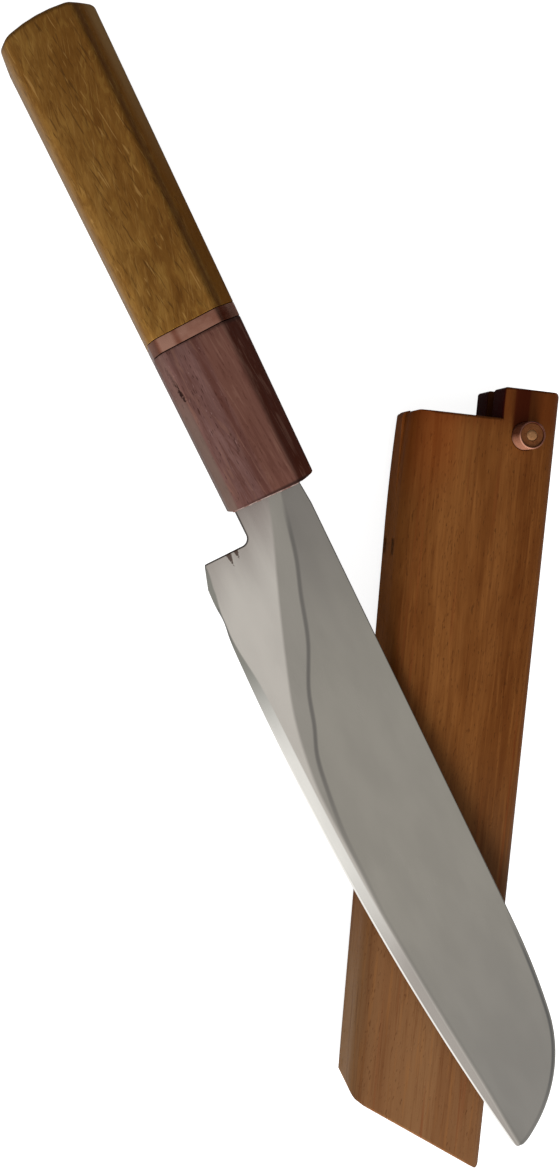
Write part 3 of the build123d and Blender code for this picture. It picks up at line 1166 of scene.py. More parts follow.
FRONT_MARKS = (
    Mark("redder half", (95, 61, 50), 0.75, (Reach(ACROSS, -1.2, 0.3),)),
    Mark("seam", (76, 42, 34), 0.6, (Reach(ACROSS, 1.3, 0.3, -1.5),)),
    Flecks("pale flecks", (132, 104, 99), 0.5, (Reach(ACROSS, 0.5, -2.0),), long=0.9, fine=3.4, clear=0.68, full=0.78),
    # Painted shade on the ferrule's spine-side chamfer.
    Mark("painted shade on the far side", (66, 24, 10), 0.85, (Reach(ACROSS, 6.2, 7.0),)),
    *(
        Flecks(name, shade, 0.5, long=0.07, fine=0.8, clear=clear, full=full, turn=-5, detail=3.0, roughness=0.6,
               warp=0.7)
        for name, shade, clear, full in (
            ("light streaks", (112, 80, 68), 0.52, 0.64), ("dark streaks", (78, 46, 38), 0.47, 0.36))
    ),
    # Painted sheen on the ferrule's edge-side chamfer, fuller towards its front.
    Mark("painted sheen on the near side", (92, 76, 68), 0.8, (Reach(ACROSS, -8.7, -9.5), Reach(ALONG, -34, -18, least=0.3125))),
    # Painted shade over the ferrule's lit front rim.
    Mark("painted shade on the front end", (40, 24, 20), 0.95, (Reach(ALONG, -0.9, -0.2),)),
    Mark("rear end", (40, 24, 20), 0.6, (Reach(ALONG, -39.0, -39.8),)),
    Nick("rear nick", (32, 16, 14), 0.35, start=-34.0, side=-9.8, length=3.0, half=0.35),
    Nick("front nick", (32, 16, 14), 0.95, start=-29.2, side=-9.2, length=2.0, half=0.5),
)


def new_object(name: str, mesh: bpy.types.Mesh) -> bpy.types.Object:
    """Links a mesh into the scene as an object at the origin.

    Args:
        name: The object's name.
        mesh: Its mesh.

    Returns:
        The object.
    """
    mesh.name = name
    thing = bpy.data.objects.new(name, mesh)
    bpy.context.scene.collection.objects.link(thing)
    return thing


def coat(thing: bpy.types.Object, material: bpy.types.Material) -> None:
    """Gives an object one material."""
    thing.data.materials.clear()
    thing.data.materials.append(material)


def dress(piece: bpy.types.Object, material: bpy.types.Material, body: Body, slot: Slot, *nodes: str) -> None:
    """Gives a piece its material and its body, and hides the CAD nodes that it stands for.

    Args:
        piece: The piece.
        material: Its material.
        body: The body that it rides on.
        slot: The record's material slot; not used.
        *nodes: CAD nodes that it replaces.
    """
    coat(piece, material)
    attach(piece, body.value)
    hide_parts(*nodes)
    log.info("%s: %d vertices, on %s", piece.name, len(piece.data.vertices), body.value)


def baked(thing: bpy.types.Object, name: str) -> bpy.types.Object:
    """Turns an object with live modifiers into a plain mesh piece.

    Args:
        thing: The object.
        name: The piece's name.

    Returns:
        The piece, its sizes unchanged.
    """
    bpy.context.view_layer.update()
    depsgraph = bpy.context.evaluated_depsgraph_get()
    mesh = bpy.data.meshes.new_from_object(thing.evaluated_get(depsgraph))
    thing.modifiers.clear()
    bpy.data.objects.remove(thing)
    return new_object(name, mesh)


def laid(
    name: str, tree: bpy.types.NodeTree, path: Sequence[tuple[float, float, float]], material: bpy.types.Material,
    girths: Sequence[float] = ()
) -> bpy.types.Object:
    """Runs a Geometry Nodes tree along a path.

    Args:
        name: The piece's name.
        tree: The tree.
        path: The path's points.
        material: The piece's material.
        girths: How large the section is at each point, if the tree asks for it.

    Returns:
        The piece, in the path's frame and in millimetres.
    """
    mesh = bpy.data.meshes.new(name + "_path")
    mesh.from_pydata(path, [(i, i + 1) for i in range(len(path) - 1)], [])
    if girths:
        mesh.attributes.new("girth", "FLOAT", "POINT").data.foreach_set("value", girths)
    thing = new_object(name + "_path", mesh)
    modifier = thing.modifiers.new("tree", "NODES")
    modifier.node_group = tree
    for item in tree.interface.items_tree:
        if item.name == "Finish":
            modifier[item.identifier] = material
    piece = baked(thing, name)
    if girths and "girth" in piece.data.attributes:
        piece.data.attributes.remove(piece.data.attributes["girth"])
    return piece


@contextmanager
def edited(mesh: bpy.types.Mesh) -> Iterator[bmesh.types.BMesh]:
    """Opens a mesh for editing and writes it back.

    Args:
        mesh: The mesh.

    Yields:
        Its editable form.
    """
    form = bmesh.new()
    form.from_mesh(mesh)
    yield form
    form.to_mesh(mesh)
    form.free()


@dataclass
class Plate:
    """A flat form meshed over its outline, with a height for each face at each point."""

    outline: list[Point2]
    holes: list[list[Point2]]
    creases: list[list[Point2]]
    pitch: Point2
    top: Measure
    bottom: Measure
    hole_margin: float = 0.4

    def spread(self) -> tuple[np.ndarray, list[Sequence[int]]]:
        """Triangulates the outline with its creases and an even grid inside.

        Returns:
            The points, one row each, and the triangles, anticlockwise.
        """
        points: list[Point2] = []
        edges: list[tuple[int, int]] = []
        for loop in [self.outline, *self.holes]:
            first = len(points)
            points += loop
            edges += [(first + i, first + (i + 1) % len(loop)) for i in range(len(loop))]
        for crease in self.creases:
            first = len(points)
            points += crease
            edges += [(first + i, first + i + 1) for i in range(len(crease) - 1)]
        a = np.array(self.outline)
        xs = np.arange(a[:, 0].min(), a[:, 0].max(), self.pitch[0])
        ys = np.arange(a[:, 1].min(), a[:, 1].max(), self.pitch[1])
        grid = np.array([(x, y) for x in xs for y in ys])
        keep = inside(grid, self.outline) & (distance_to(grid, self.outline) > min(self.pitch) * 0.5)
        for hole in self.holes:
            keep &= ~inside(grid, hole) & (distance_to(grid, hole) > self.hole_margin)
        for p in np.array([p for crease in self.creases for p in crease]):
            keep &= np.hypot(*(grid - p).T) > min(self.pitch) * 0.4
        points += [tuple(p) for p in grid[keep]]
        verts, _, faces, *_ = delaunay_2d_cdt([Vector(p) for p in points], edges, [], 1, 1e-5, False)
        flat = np.array([tuple(v) for v in verts])
        centres = np.array([flat[list(f)].mean(0) for f in faces])
        solid = inside(centres, self.outline)
        for hole in self.holes:
            solid &= ~inside(centres, hole)
        kept = []
        for face in (f for f, good in zip(faces, solid) if good):
            p, q, r = flat[list(face)][:3]
            turn = (q[0] - p[0]) * (r[1] - p[1]) - (q[1] - p[1]) * (r[0] - p[0])
            kept.append(face if turn > 0 else face[::-1])
        return flat, kept

    def build(self, name: str, carry: dict[str, Measure] | None = None) -> bpy.types.Mesh:
        """Meshes both faces and the wall between them.

        Args:
            name: The mesh's name.
            carry: Values stored on the points, by name.

        Returns:
            The closed mesh, in millimetres.
        """
        flat, faces = self.spread()
        count = len(flat)
        top, bottom = self.top(flat), self.bottom(flat)
        verts = [(*p, z) for p, z in zip(flat, top)] + [(*p, z) for p, z in zip(flat, bottom)]
        rims = dict.fromkeys((a, b) for face in faces for a, b in zip(face, [*face[1:], face[0]]))
        border = [(a, b) for a, b in rims if (b, a) not in rims]
        polygons = [list(f) for f in faces] + [[v + count for v in reversed(f)] for f in faces]
        polygons += [[b, a, a + count, b + count] for a, b in border]
        mesh = bpy.data.meshes.new(name)
        mesh.from_pydata(verts, [], polygons)
        for key, measure in (carry or {}).items():
            values = np.tile(measure(flat), 2).astype(np.float32)
            mesh.attributes.new(key, "FLOAT", "POINT").data.foreach_set("value", values)
        with edited(mesh) as form:
            bmesh.ops.delete(form, geom=[v for v in form.verts if not v.link_faces], context="VERTS")
        return mesh


def soften(mesh: bpy.types.Mesh, sharp_angle: float) -> None:
    """Smooth shading, with edges over an angle left sharp.

    Args:
        mesh: The mesh.
        sharp_angle: The angle in degrees.
    """
    limit = math.radians(sharp_angle)
    with edited(mesh) as form:
        for face in form.faces:
            face.smooth = True
        for edge in form.edges:
            edge.smooth = len(edge.link_faces) == 2 and edge.calc_face_angle(0.0) < limit


@dataclass
class Blade:
    """The blade with its tang: flat above the grind line, ground below it, with a cutting bevel."""

    carried: ClassVar[tuple[str, ...]] = (
        "above_line", "above_ground", "above_bevel", "from_edge", "from_heel", "from_nose")
    reach: float = 178.0
    heel_reach: float = 8.2
    heel_depth: float = 21.7
    sweep_start: Point2 = (14.0, -23.6)
    tip: Point2 = (178.2, -16.45)
    edge_sagitta: float = 4.25
    heel_hollow: float = 0.45
    heel_hollow_reach: float = 22.5
    heel_hollow_width: float = 3.2
    shoulder: Point2 = (6.0, 7.8)
    crest: Point2 = (122.0, 8.0)
    drop: Point2 = (148.0, 6.3)
    neck_edge: float = 9.6
    neck_spine: float = 7.3
    neck_inset: float = 8.0
    choil_radius: float = 2.0
    tang_reach: float = 82.0
    tang_root: float = 4.5
    tang_end: float = 2.5
    tip_round: float = 2.3
    heel_round: float = 0.4
    half_root: float = 1.3
    half_tip: float = 1.0
    half_nose: float = 0.4
    lip: float = 0.08
    grind_angle: float = 2.0
    arris: float = 0.3
    line: tuple[Point2, ...] = (
        (-12.0, 5.4), (2.3, 1.8), (8.7, 0.5), (16.7, -1.4), (24.6, -4.1), (35.6, -7.5), (46.5, -12.6),
        (55.0, -15.2), (62.0, -17.8), (71.4, -19.3), (82.4, -20.3), (95.4, -20.4),
    )
    ground: tuple[Point2, ...] = (
        (-12.0, 3.0), (4.0, -2.2), (10.0, -4.3), (24.5, -9.8), (40.4, -15.4), (49.4, -18.2), (58.9, -20.1),
        (71.1, -21.3), (95.0, -20.8),
    )
    bevel_widths: tuple[Point2, ...] = (
        (8.2, 0.1), (11.0, 0.9), (15.0, 1.35), (18.0, 0.9), (21.0, 0.3), (24.0, 0.3), (30.0, 0.9), (41.0, 2.3),
        (57.0, 2.7), (98.0, 2.8), (126.0, 2.7), (156.0, 2.2), (173.0, 1.2), (178.0, 0.9),
    )
    line_end: float = 96.0
    line_lead: float = 0.6
    ground_lead: float = 0.3
    thin_start: float = 130.0
    thin_ease: float = 1.6
    rim_pitch: float = 1.6
    face_pitch: Point2 = (1.6, 1.3)
    edge_steps: int = 110
    tip_lead: Point2 = (1.4, 1.5)
    grind_share: float = 0.6
    bevel_clear: float = 0.35
    crease_angles: tuple[float, ...] = (24, 45, 66, 90)
    crease_inset: Point2 = (0.6, 2.2)
    crease_steps: int = 150
    crease_margin: float = 0.12
    nose_lead: float = 8.0
    nose_clear: float = 0.3
    bevel_slack: float = 0.02
    sharp_angle: float = 32.0

    def edge(self, along: float) -> float:
        """The cutting edge's height across the blade at a place along it.

        Args:
            along: The place along the blade.

        Returns:
            The height, below the axis.
        """
        (x0, y0), (x1, y1) = self.sweep_start, self.tip
        if along < x0:
            slope = (-y0 - self.heel_depth) / (x0 - self.heel_reach)
            depth = self.heel_depth + slope * (along - self.heel_reach)
        else:
            span, rise = x1 - x0, y1 - y0
            chord = math.hypot(span, rise)
            radius = chord * chord / (8 * self.edge_sagitta) + self.edge_sagitta / 2
            tilt = math.asin(rise / chord)
            centre_x = (x0 + x1) / 2 - (radius - self.edge_sagitta) * math.sin(tilt)
            centre_y = -(y0 + y1) / 2 - (radius - self.edge_sagitta) * math.cos(tilt)
            depth = centre_y + radius * math.cos(math.asin((along - centre_x) / radius))
        hollow = self.heel_hollow * math.exp(-(((along - self.heel_hollow_reach) / self.heel_hollow_width) ** 2))
        return -depth + hollow

    def bevel(self, along: float) -> float:
        """The bevel's inner boundary at a place along the blade."""
        return self.edge(along) + eased(self.bevel_widths, along)

    def grind(self, along: float) -> float:
        """The dark grind line's place, which runs out along the bevel."""
        return max(eased(self.line, along), self.bevel(max(along, self.heel_reach)) + self.line_lead)

    def light_side(self, along: float) -> float:
        """Where the lighter ground side begins, which runs out along the bevel."""
        return max(eased(self.ground, along), self.bevel(max(along, self.heel_reach)) + self.ground_lead)

    def half_thickness(self, along: float) -> float:
        """Half the blade's thickness at the spine, thinner over the last stretch to the tip.

        Args:
            along: The place along the blade.

        Returns:
            Half the thickness there.
        """
        even = self.half_root + (self.half_tip - self.half_root) * max(along, 0.0) / self.reach
        late = max(0.0, along - self.thin_start) / (self.reach - self.thin_start)
        return even + (self.half_nose - even) * late**self.thin_ease

    def outline(self) -> list[Point2]:
        """The blade and tang seen on the face, anticlockwise.

        Returns:
            The outline's points.
        """
        start, end = self.sweep_start[0], self.tip[0] - self.tip_lead[0] * self.tip_round
        edge = [(u, self.edge(u)) for u in np.linspace(start, end, self.edge_steps)]
        heading = (Vector(self.crest) - Vector(self.shoulder)).normalized()
        crown, leaving = tangent_arc(self.crest, tuple(heading), self.drop, 14)
        nose, _ = tangent_arc(self.drop, leaving, self.tip, 40)
        nose = [p for p in nose if math.dist(p, self.tip) > self.tip_lead[1] * self.tip_round]
        first, corner, last = Vector(nose[-1]), Vector(self.tip), Vector(edge[-1])
        bend_steps = [k / 7 for k in range(1, 7)]
        tip_bend = [tuple(first * (1 - t) ** 2 + corner * 2 * t * (1 - t) + last * t * t) for t in bend_steps]
        spine = [*crown, *nose, *tip_bend]
        back, bend, soft = self.heel_reach, self.choil_radius, self.heel_round
        choil = arc((back - bend, -self.neck_edge - bend), bend, 0, 90, 10)[::-1]
        neck = [
            (0.0, self.neck_spine),
            (-self.neck_inset, self.neck_spine),
            (-self.neck_inset, self.tang_root),
            (-self.tang_reach, self.tang_end),
            (-self.tang_reach, -self.tang_end),
            (-self.neck_inset, -self.tang_root),
            (-self.neck_inset, -self.neck_edge),
        ]
        heel = [
            *[(back + out * soft, -self.heel_depth + rise * soft) for out, rise in ((0, 2), (0.05, 0.7), (0.4, 0.1))],
            (back + 1.2 * soft, self.edge(back + 1.2 * soft)),
        ]
        shoulder = [self.crest, self.shoulder]
        return resampled([*edge, *spine[::-1], *shoulder, *neck, *choil, *heel], self.rim_pitch)

    def faces(self, outline: list[Point2]) -> Measure:
        """The upper face's height over the middle plane.

        Args:
            outline: The blade's outline.

        Returns:
            A function from points to heights.
        """
        fall = math.tan(math.radians(self.grind_angle))

        def height(points: np.ndarray) -> np.ndarray:
            """The height at each point.

            Args:
                points: One row of two coordinates for each point.

            Returns:
                One height for each point.
            """
            gaps = distance_to(points, outline)
            heights = np.empty(len(points))
            for i, (u, v) in enumerate(points):
                half = self.half_thickness(u)
                edge, bevel = self.edge(max(u, self.heel_reach)), self.bevel(max(u, self.heel_reach))
                ground = max(0.0, self.grind(u) - max(v, bevel))
                share = max(0.0, min(1.0, u / self.heel_reach))
                low = half - min(ground * fall, half * self.grind_share) * share
                bevelled = u > self.heel_reach - 0.1 and v < bevel
                if bevelled:
                    low += (self.lip - low) * min(1.0, (bevel - v) / max(bevel - edge, 1e-3))
                if not bevelled and gaps[i] < self.arris:
                    low -= fallen(self.arris, self.arris - gaps[i])
                heights[i] = low
            return heights

        return height

    def creases(self, outline: list[Point2]) -> list[list[Point2]]:
        """Lines that the mesh has to follow.

        Args:
            outline: The blade's outline.

        Returns:
            The arris's rings above the bevel, the bevel's boundary and the two grind lines.
        """
        creases: list[list[Point2]] = []
        for share in shares(self.crease_angles, 1.2):
            ring = inset(outline, self.arris * share)
            good = [p[1] > self.bevel(max(p[0], self.heel_reach)) + self.bevel_clear for p in ring]
            run: list[Point2] = []
            for p, ok in [*zip(ring, good), (None, False)]:
                if ok:
                    run.append(p)
                    continue
                if len(run) > 1:
                    creases.append(run)
                run = []
        first, last = self.crease_inset
        places = np.linspace(self.heel_reach + first, self.reach - last, self.crease_steps)
        for line, end in ((self.bevel, self.reach), (self.grind, self.line_end), (self.light_side, self.line_end)):
            creases.append(kept_inside([(u, line(u)) for u in places if u < end], outline, self.crease_margin))
        return creases

    def build(self) -> bpy.types.Object:
        """Meshes the blade in its own frame and lays it in place.

        Returns:
            The piece, in metres.
        """
        outline = self.outline()
        top = self.faces(outline)
        plate = Plate(outline, [], self.creases(outline), self.face_pitch, top, lambda p: -top(p))
        heel, radius = self.heel_reach, self.choil_radius
        choil = (heel - radius, -self.neck_edge - radius)
        patina = [(heel, -self.heel_depth), (heel, choil[1]), *arc(choil, radius, 0, 90, 8), (0.0, -self.neck_edge)]
        nose = self.crest[0] - self.nose_lead
        spine = [p for p in outline if p[0] > nose and p[1] > self.bevel(p[0]) + self.nose_clear]

        def above(line: Callable[[float], float]) -> Measure:
            """How far points lie above a line along the blade."""
            return lambda p: p[:, 1] - np.vectorize(line)(p[:, 0])

        measures = (
            above(self.grind), above(self.light_side), above(lambda u: self.bevel(max(u, heel))),
            above(lambda u: self.edge(max(u, heel))), lambda p: distance_to(p, [*patina, *patina[::-1]]),
            lambda p: distance_to(p, [*spine, *spine[::-1]]))
        mesh = plate.build("blade_finished", dict(zip(self.carried, measures)))
        soften(mesh, self.sharp_angle)
        with edited(mesh) as form:
            for edge in form.edges:
                ends = [vert.co for vert in edge.verts]
                if all(u > heel and abs(v - self.bevel(u)) < self.bevel_slack for u, v, _ in ends):
                    edge.smooth = False
        mesh.transform(Matrix.Scale(MM, 4) @ KNIFE_FRAME)
        return new_object("blade_finished", mesh)

    def dress(self, steel: Finish) -> None:
        """Builds the blade and gives it its finish."""
        dress(self.build(), steel.make(), Body.KNIFE, Slot.BLADE, "blade")


@dataclass
class OctagonStock:
    """A Geometry Nodes tree that sweeps a chamfered octagon along a path of stations."""

    spine_side: float = 10.9
    edge_side: float = 10.9
    face: float = 9.68
    edge_chamfer: Point2 = (1.8, 3.2)
    spine_chamfer: Point2 = (4.9, 4.6)
    arris: float = 1.8

    def tree(self) -> bpy.types.NodeTree:
        """Builds the tree with its named inputs.

        Returns:
            The node tree.
        """
        graph, path, given = path_tree("octagonal_stock", {
            "Spine side": self.spine_side,
            "Edge side": self.edge_side,
            "Face": self.face,
            "Spine chamfer width": self.spine_chamfer[0],
            "Spine chamfer depth": self.spine_chamfer[1],
            "Edge chamfer width": self.edge_chamfer[0],
            "Edge chamfer depth": self.edge_chamfer[1],
            "Arris round": self.arris,
        })
        side, low = graph.times(given["Spine side"], -1.0), given["Edge side"]
        top = given["Face"]
        spine_top = graph.minus(top, given["Spine chamfer depth"])
        spine_in = graph.plus(side, given["Spine chamfer width"])
        edge_in = graph.minus(low, given["Edge chamfer width"])
        edge_top = graph.minus(top, given["Edge chamfer depth"])
        upper = [(side, spine_top), (spine_in, top), (edge_in, top), (low, edge_top)]
        corners = upper + [(across, graph.times(height, -1.0)) for across, height in reversed(upper)]
        choose = graph.add("GeometryNodeIndexSwitch", data_type="VECTOR")
        while len(choose.index_switch_items) < len(corners):
            choose.index_switch_items.new()
        graph.tree.links.new(graph.add("GeometryNodeInputIndex").outputs[0], choose.inputs["Index"])
        for number, (across, height) in enumerate(corners):
            graph.tree.links.new(graph.vector(across, height), choose.inputs[number + 1])
        ring = graph.add("GeometryNodeMeshCircle", {"Vertices": len(corners)}).outputs[0]
        octagon = graph.add("GeometryNodeSetPosition", {"Geometry": ring, "Position": choose.outputs[0]}).outputs[0]
        loop = graph.add("GeometryNodeMeshToCurve", {0: octagon}).outputs[0]
        profile = graph.add(
            "GeometryNodeFilletCurve", {"Curve": loop, "Count": 5, "Radius": given["Arris round"]}, mode="POLY")
        divided = graph.add("GeometryNodeSubdivideCurve", {"Curve": profile.outputs[0], "Cuts": 3}).outputs[0]
        girth = graph.add("GeometryNodeInputNamedAttribute", {"Name": "girth"}, data_type="FLOAT").outputs[0]
        swept = graph.add("GeometryNodeCurveToMesh", {"Curve": path, "Profile Curve": divided, "Scale": girth})
        closed = graph.add("GeometryNodeMergeByDistance", {"Geometry": swept.outputs[0], "Distance": 1e-4})
        return end_tree(graph, closed.outputs[0], given["Finish"])


@dataclass
class Handle:
    """The octagonal handle: rear wood, copper band and front wood, swept from one tapering stock."""

    length: float = 117.2
    ferrule_length: float = 39.9
    band_length: float = 3.4
    butt_growth: float = 0.079
    butt_crown: float = 48.0
    butt_start: float = 3.6
    crown_across: float = 1.35
    crown_middle: float = 1.5
    crown_upright: float = 0.6
    butt_round: float = 1.5
    front_round: float = 0.4
    front_ease: float = 0.9
    front_ease_start: float = 6.8
    front_ease_reach: float = 1.0
    front_ease_curve: float = 1.5
    joint_round: float = 0.14
    joint_gap: float = 0.04
    face_crown: float = 0.05
    front_skew: float = 2.2
    band_skew: float = -2.0
    half_size: float = 10.9
    slot_depth: float = 4.0
    slot_half_height: float = 1.42
    slot_edge: float = 9.72
    slot_spine: float = 8.1
    slot_past: float = 2.0
    slot_pitch: Point2 = (2.0, 3.0)
    sharp_angle: float = 50.0
    bead: float = 0.36
    bead_spine: float = 7.0
    bead_lift: float = 0.04
    stock: OctagonStock = field(default_factory=OctagonStock)

    def girth(self, along: float) -> float:
        """How much larger the stock is than at the front."""
        return 1 + self.butt_growth * -along / self.length

    def crown_fall(self, across: float, height: float) -> float:
        """How far the butt's crown falls back at a place on the section."""
        square = self.crown_across * (across - self.crown_middle) ** 2 + self.crown_upright * height**2
        return fallen(self.butt_crown, math.sqrt(square))

    def rim(self, kind: End) -> list[Point2]:
        """Stations of one end, from its centre to the full section.

        Args:
            kind: How the stock ends.

        Returns:
            Pairs of how far in from the end and how far in from the side.
        """
        half = self.half_size
        if kind is End.CROWN:
            half *= 1 + self.butt_growth
            cap = [(fallen(self.butt_crown, half * k / 7), half - half * k / 7) for k in range(7)]
            radius, base = self.butt_round, fallen(self.butt_crown, half - self.butt_round)
            bend = np.linspace(math.asin(half / self.butt_crown), math.pi / 2, 8)
        else:
            radius, base = self.front_round if kind is End.FACE else self.joint_round, self.face_crown
            cap = [(base * k / 4, half - (half - radius) * k / 4) for k in range(4)]
            bend = np.linspace(0, math.pi / 2, 5)
        return cap + [(base + radius * (1 - math.cos(a)), radius * (1 - math.sin(a))) for a in bend]

    def stations(self, start: float, end: float, rear: End, front: End) -> list[Point2]:
        """Places and girths along one length of stock.

        Args:
            start: Its rear end.
            end: Its front end.
            rear: How the rear ends.
            front: How the front ends.

        Returns:
            Pairs of place and girth from rear to front.
        """
        half = self.half_size
        back = [(start + inward, self.girth(start + inward) - off / half) for inward, off in self.rim(rear)]
        ahead = [(end - inward, self.girth(end - inward) - off / half) for inward, off in self.rim(front)][::-1]
        between_ends = np.linspace(back[-1][0], ahead[0][0], max(3, int((end - start) / 4)))[1:-1]
        middle = [(float(x), self.girth(float(x))) for x in between_ends]
        return [(x, max(g, 0.0)) for x, g in back + middle + ahead]

    def skew(self, along: float) -> float:
        """How far the ends of the lengths lean at a place along the handle, in degrees.

        Args:
            along: The place along the handle.

        Returns:
            The lean there.
        """
        joint = -self.ferrule_length
        places = ((-self.length, 0.0), (joint - self.band_length, self.band_skew), (joint, self.band_skew),
                  (0.0, self.front_skew))
        return between(places, along)

    def sweep(
        self, name: str, stations: list[Point2], tree: bpy.types.NodeTree, material: bpy.types.Material
    ) -> bpy.types.Object:
        """Sweeps the octagon along stations with Geometry Nodes, then crowns and leans its ends.

        Args:
            name: The piece's name.
            stations: Places and girths.
            tree: The stock's tree.
            material: The piece's material.

        Returns:
            The piece, still in the knife frame and in millimetres.
        """
        piece = laid(name, tree, [(x, 0, 0) for x, _ in stations], material, [g for _, g in stations])
        radii = [(x, g * self.half_size) for x, g in stations]
        with edited(piece.data) as form:
            bmesh.ops.remove_doubles(form, verts=form.verts, dist=1e-3)
            bmesh.ops.recalc_face_normals(form, faces=form.faces)
            for vert in form.verts:
                x, across, height = vert.co
                if x < self.butt_start - self.length:
                    vert.co.x += self.crown_fall(across, height) - fallen(self.butt_crown, between(radii, x))
                vert.co.x += across * math.tan(math.radians(self.skew(x)))
                if x > -self.front_ease_reach:
                    share = (across - self.front_ease_start) / (self.half_size - self.front_ease_start)
                    vert.co.x -= self.front_ease * max(0.0, share) ** self.front_ease_curve
        return piece

    def lay(self, piece: bpy.types.Object) -> bpy.types.Object:
        """Lays a piece made in the knife frame in its resting place.

        Args:
            piece: The piece.

        Returns:
            The piece.
        """
        piece.data.transform(Matrix.Scale(MM, 4) @ KNIFE_FRAME)
        soften(piece.data, self.sharp_angle)
        return piece

    def cut_slot(self, piece: bpy.types.Object) -> bpy.types.Object:
        """Cuts the neck's slot into the ferrule's front.

        Args:
            piece: The ferrule, in the knife frame.

        Returns:
            The slotted ferrule.
        """
        low, high, half = -self.slot_depth, self.slot_past, self.slot_half_height
        edge, spine = -self.slot_edge, self.slot_spine
        outline = resampled([(low, edge), (high, edge), (high, spine), (low, spine)], self.slot_pitch[1])
        plate = Plate(
            outline, [], [], self.slot_pitch, lambda p: np.full(len(p), half), lambda p: np.full(len(p), -half))
        cutter = new_object("slot_cutter", plate.build("slot_cutter"))
        cut = piece.modifiers.new("slot", "BOOLEAN")
        cut.operation, cut.solver, cut.object = "DIFFERENCE", "EXACT", cutter
        name = piece.name
        piece.name = name + "_whole"
        slotted = baked(piece, name)
        bpy.data.objects.remove(cutter)
        return slotted

    def bead_tree(self) -> bpy.types.NodeTree:
        """A Geometry Nodes tree that lays an uneven bead along a path.

        Returns:
            The node tree.
        """
        graph, path, given = path_tree(
            "glue_bead", {"Radius": self.bead, "Step": 0.25, "Unevenness": 1.35, "Seed": 4.0})
        fine = graph.add("GeometryNodeResampleCurve", {"Curve": path, "Length": given["Step"]}, mode="LENGTH")
        where = graph.add("GeometryNodeInputPosition").outputs[0]
        wave = graph.add(
            "ShaderNodeTexNoise", {"Vector": where, "W": given["Seed"], "Scale": 1.1, "Detail": 2.0},
            noise_dimensions="4D").outputs[0]
        scale = graph.plus(1.0, graph.swing(wave, given["Unevenness"]))
        ring = graph.add("GeometryNodeCurvePrimitiveCircle", {"Resolution": 14, "Radius": given["Radius"]}).outputs[0]
        swept = graph.add("GeometryNodeCurveToMesh", {
            "Curve": fine.outputs[0], "Profile Curve": ring, "Scale": scale, "Fill Caps": True})
        return end_tree(graph, swept.outputs[0], given["Finish"])

    def seal(self, material: bpy.types.Material) -> bpy.types.Object:
        """The bead of glue round the neck, from the spine side round the edge side and back.

        Args:
            material: The glue's material.

        Returns:
            The piece, in the knife frame and in millimetres.
        """
        half, spine, edge = self.slot_half_height, self.bead_spine, self.slot_edge
        lean = math.tan(math.radians(self.front_skew))
        line = [(spine, half), (-edge, half), (-edge, -half), (spine, -half)]
        return laid("glue_bead", self.bead_tree(), [(self.bead_lift + v * lean, v, n) for v, n in line], material)

    def dress(self, rear: Finish, band: Finish, front: Finish, glue: Finish) -> None:
        """Builds every piece of the handle and gives it its finish.

        Args:
            rear: The rear wood.
            band: The copper.
            front: The front wood.
            glue: The glue round the neck.
        """
        tree = self.stock.tree()
        gap, band_front = self.joint_gap, -self.ferrule_length
        band_rear = band_front - self.band_length
        lengths = (
            ("handle_wood_rear", -self.length, band_rear - gap, End.CROWN, End.JOINT, rear, Slot.HANDLE, "handle_body"),
            ("copper_band", band_rear, band_front, End.JOINT, End.JOINT, band, Slot.COPPER, "copper_spacer"),
            ("handle_wood_front", band_front + gap, 0.0, End.JOINT, End.FACE, front, Slot.FERRULE, "ferrule"),
        )
        for name, start, end, back, ahead, finish, slot, node in lengths:
            material = finish.make()
            piece = self.sweep(name, self.stations(start, end, back, ahead), tree, material)
            if ahead is End.FACE:
                piece = self.cut_slot(piece)
            dress(self.lay(piece), material, Body.KNIFE, slot, node)
        material = glue.make()
        dress(self.lay(self.seal(material)), material, Body.KNIFE, Slot.SEAL, "slot_seal")


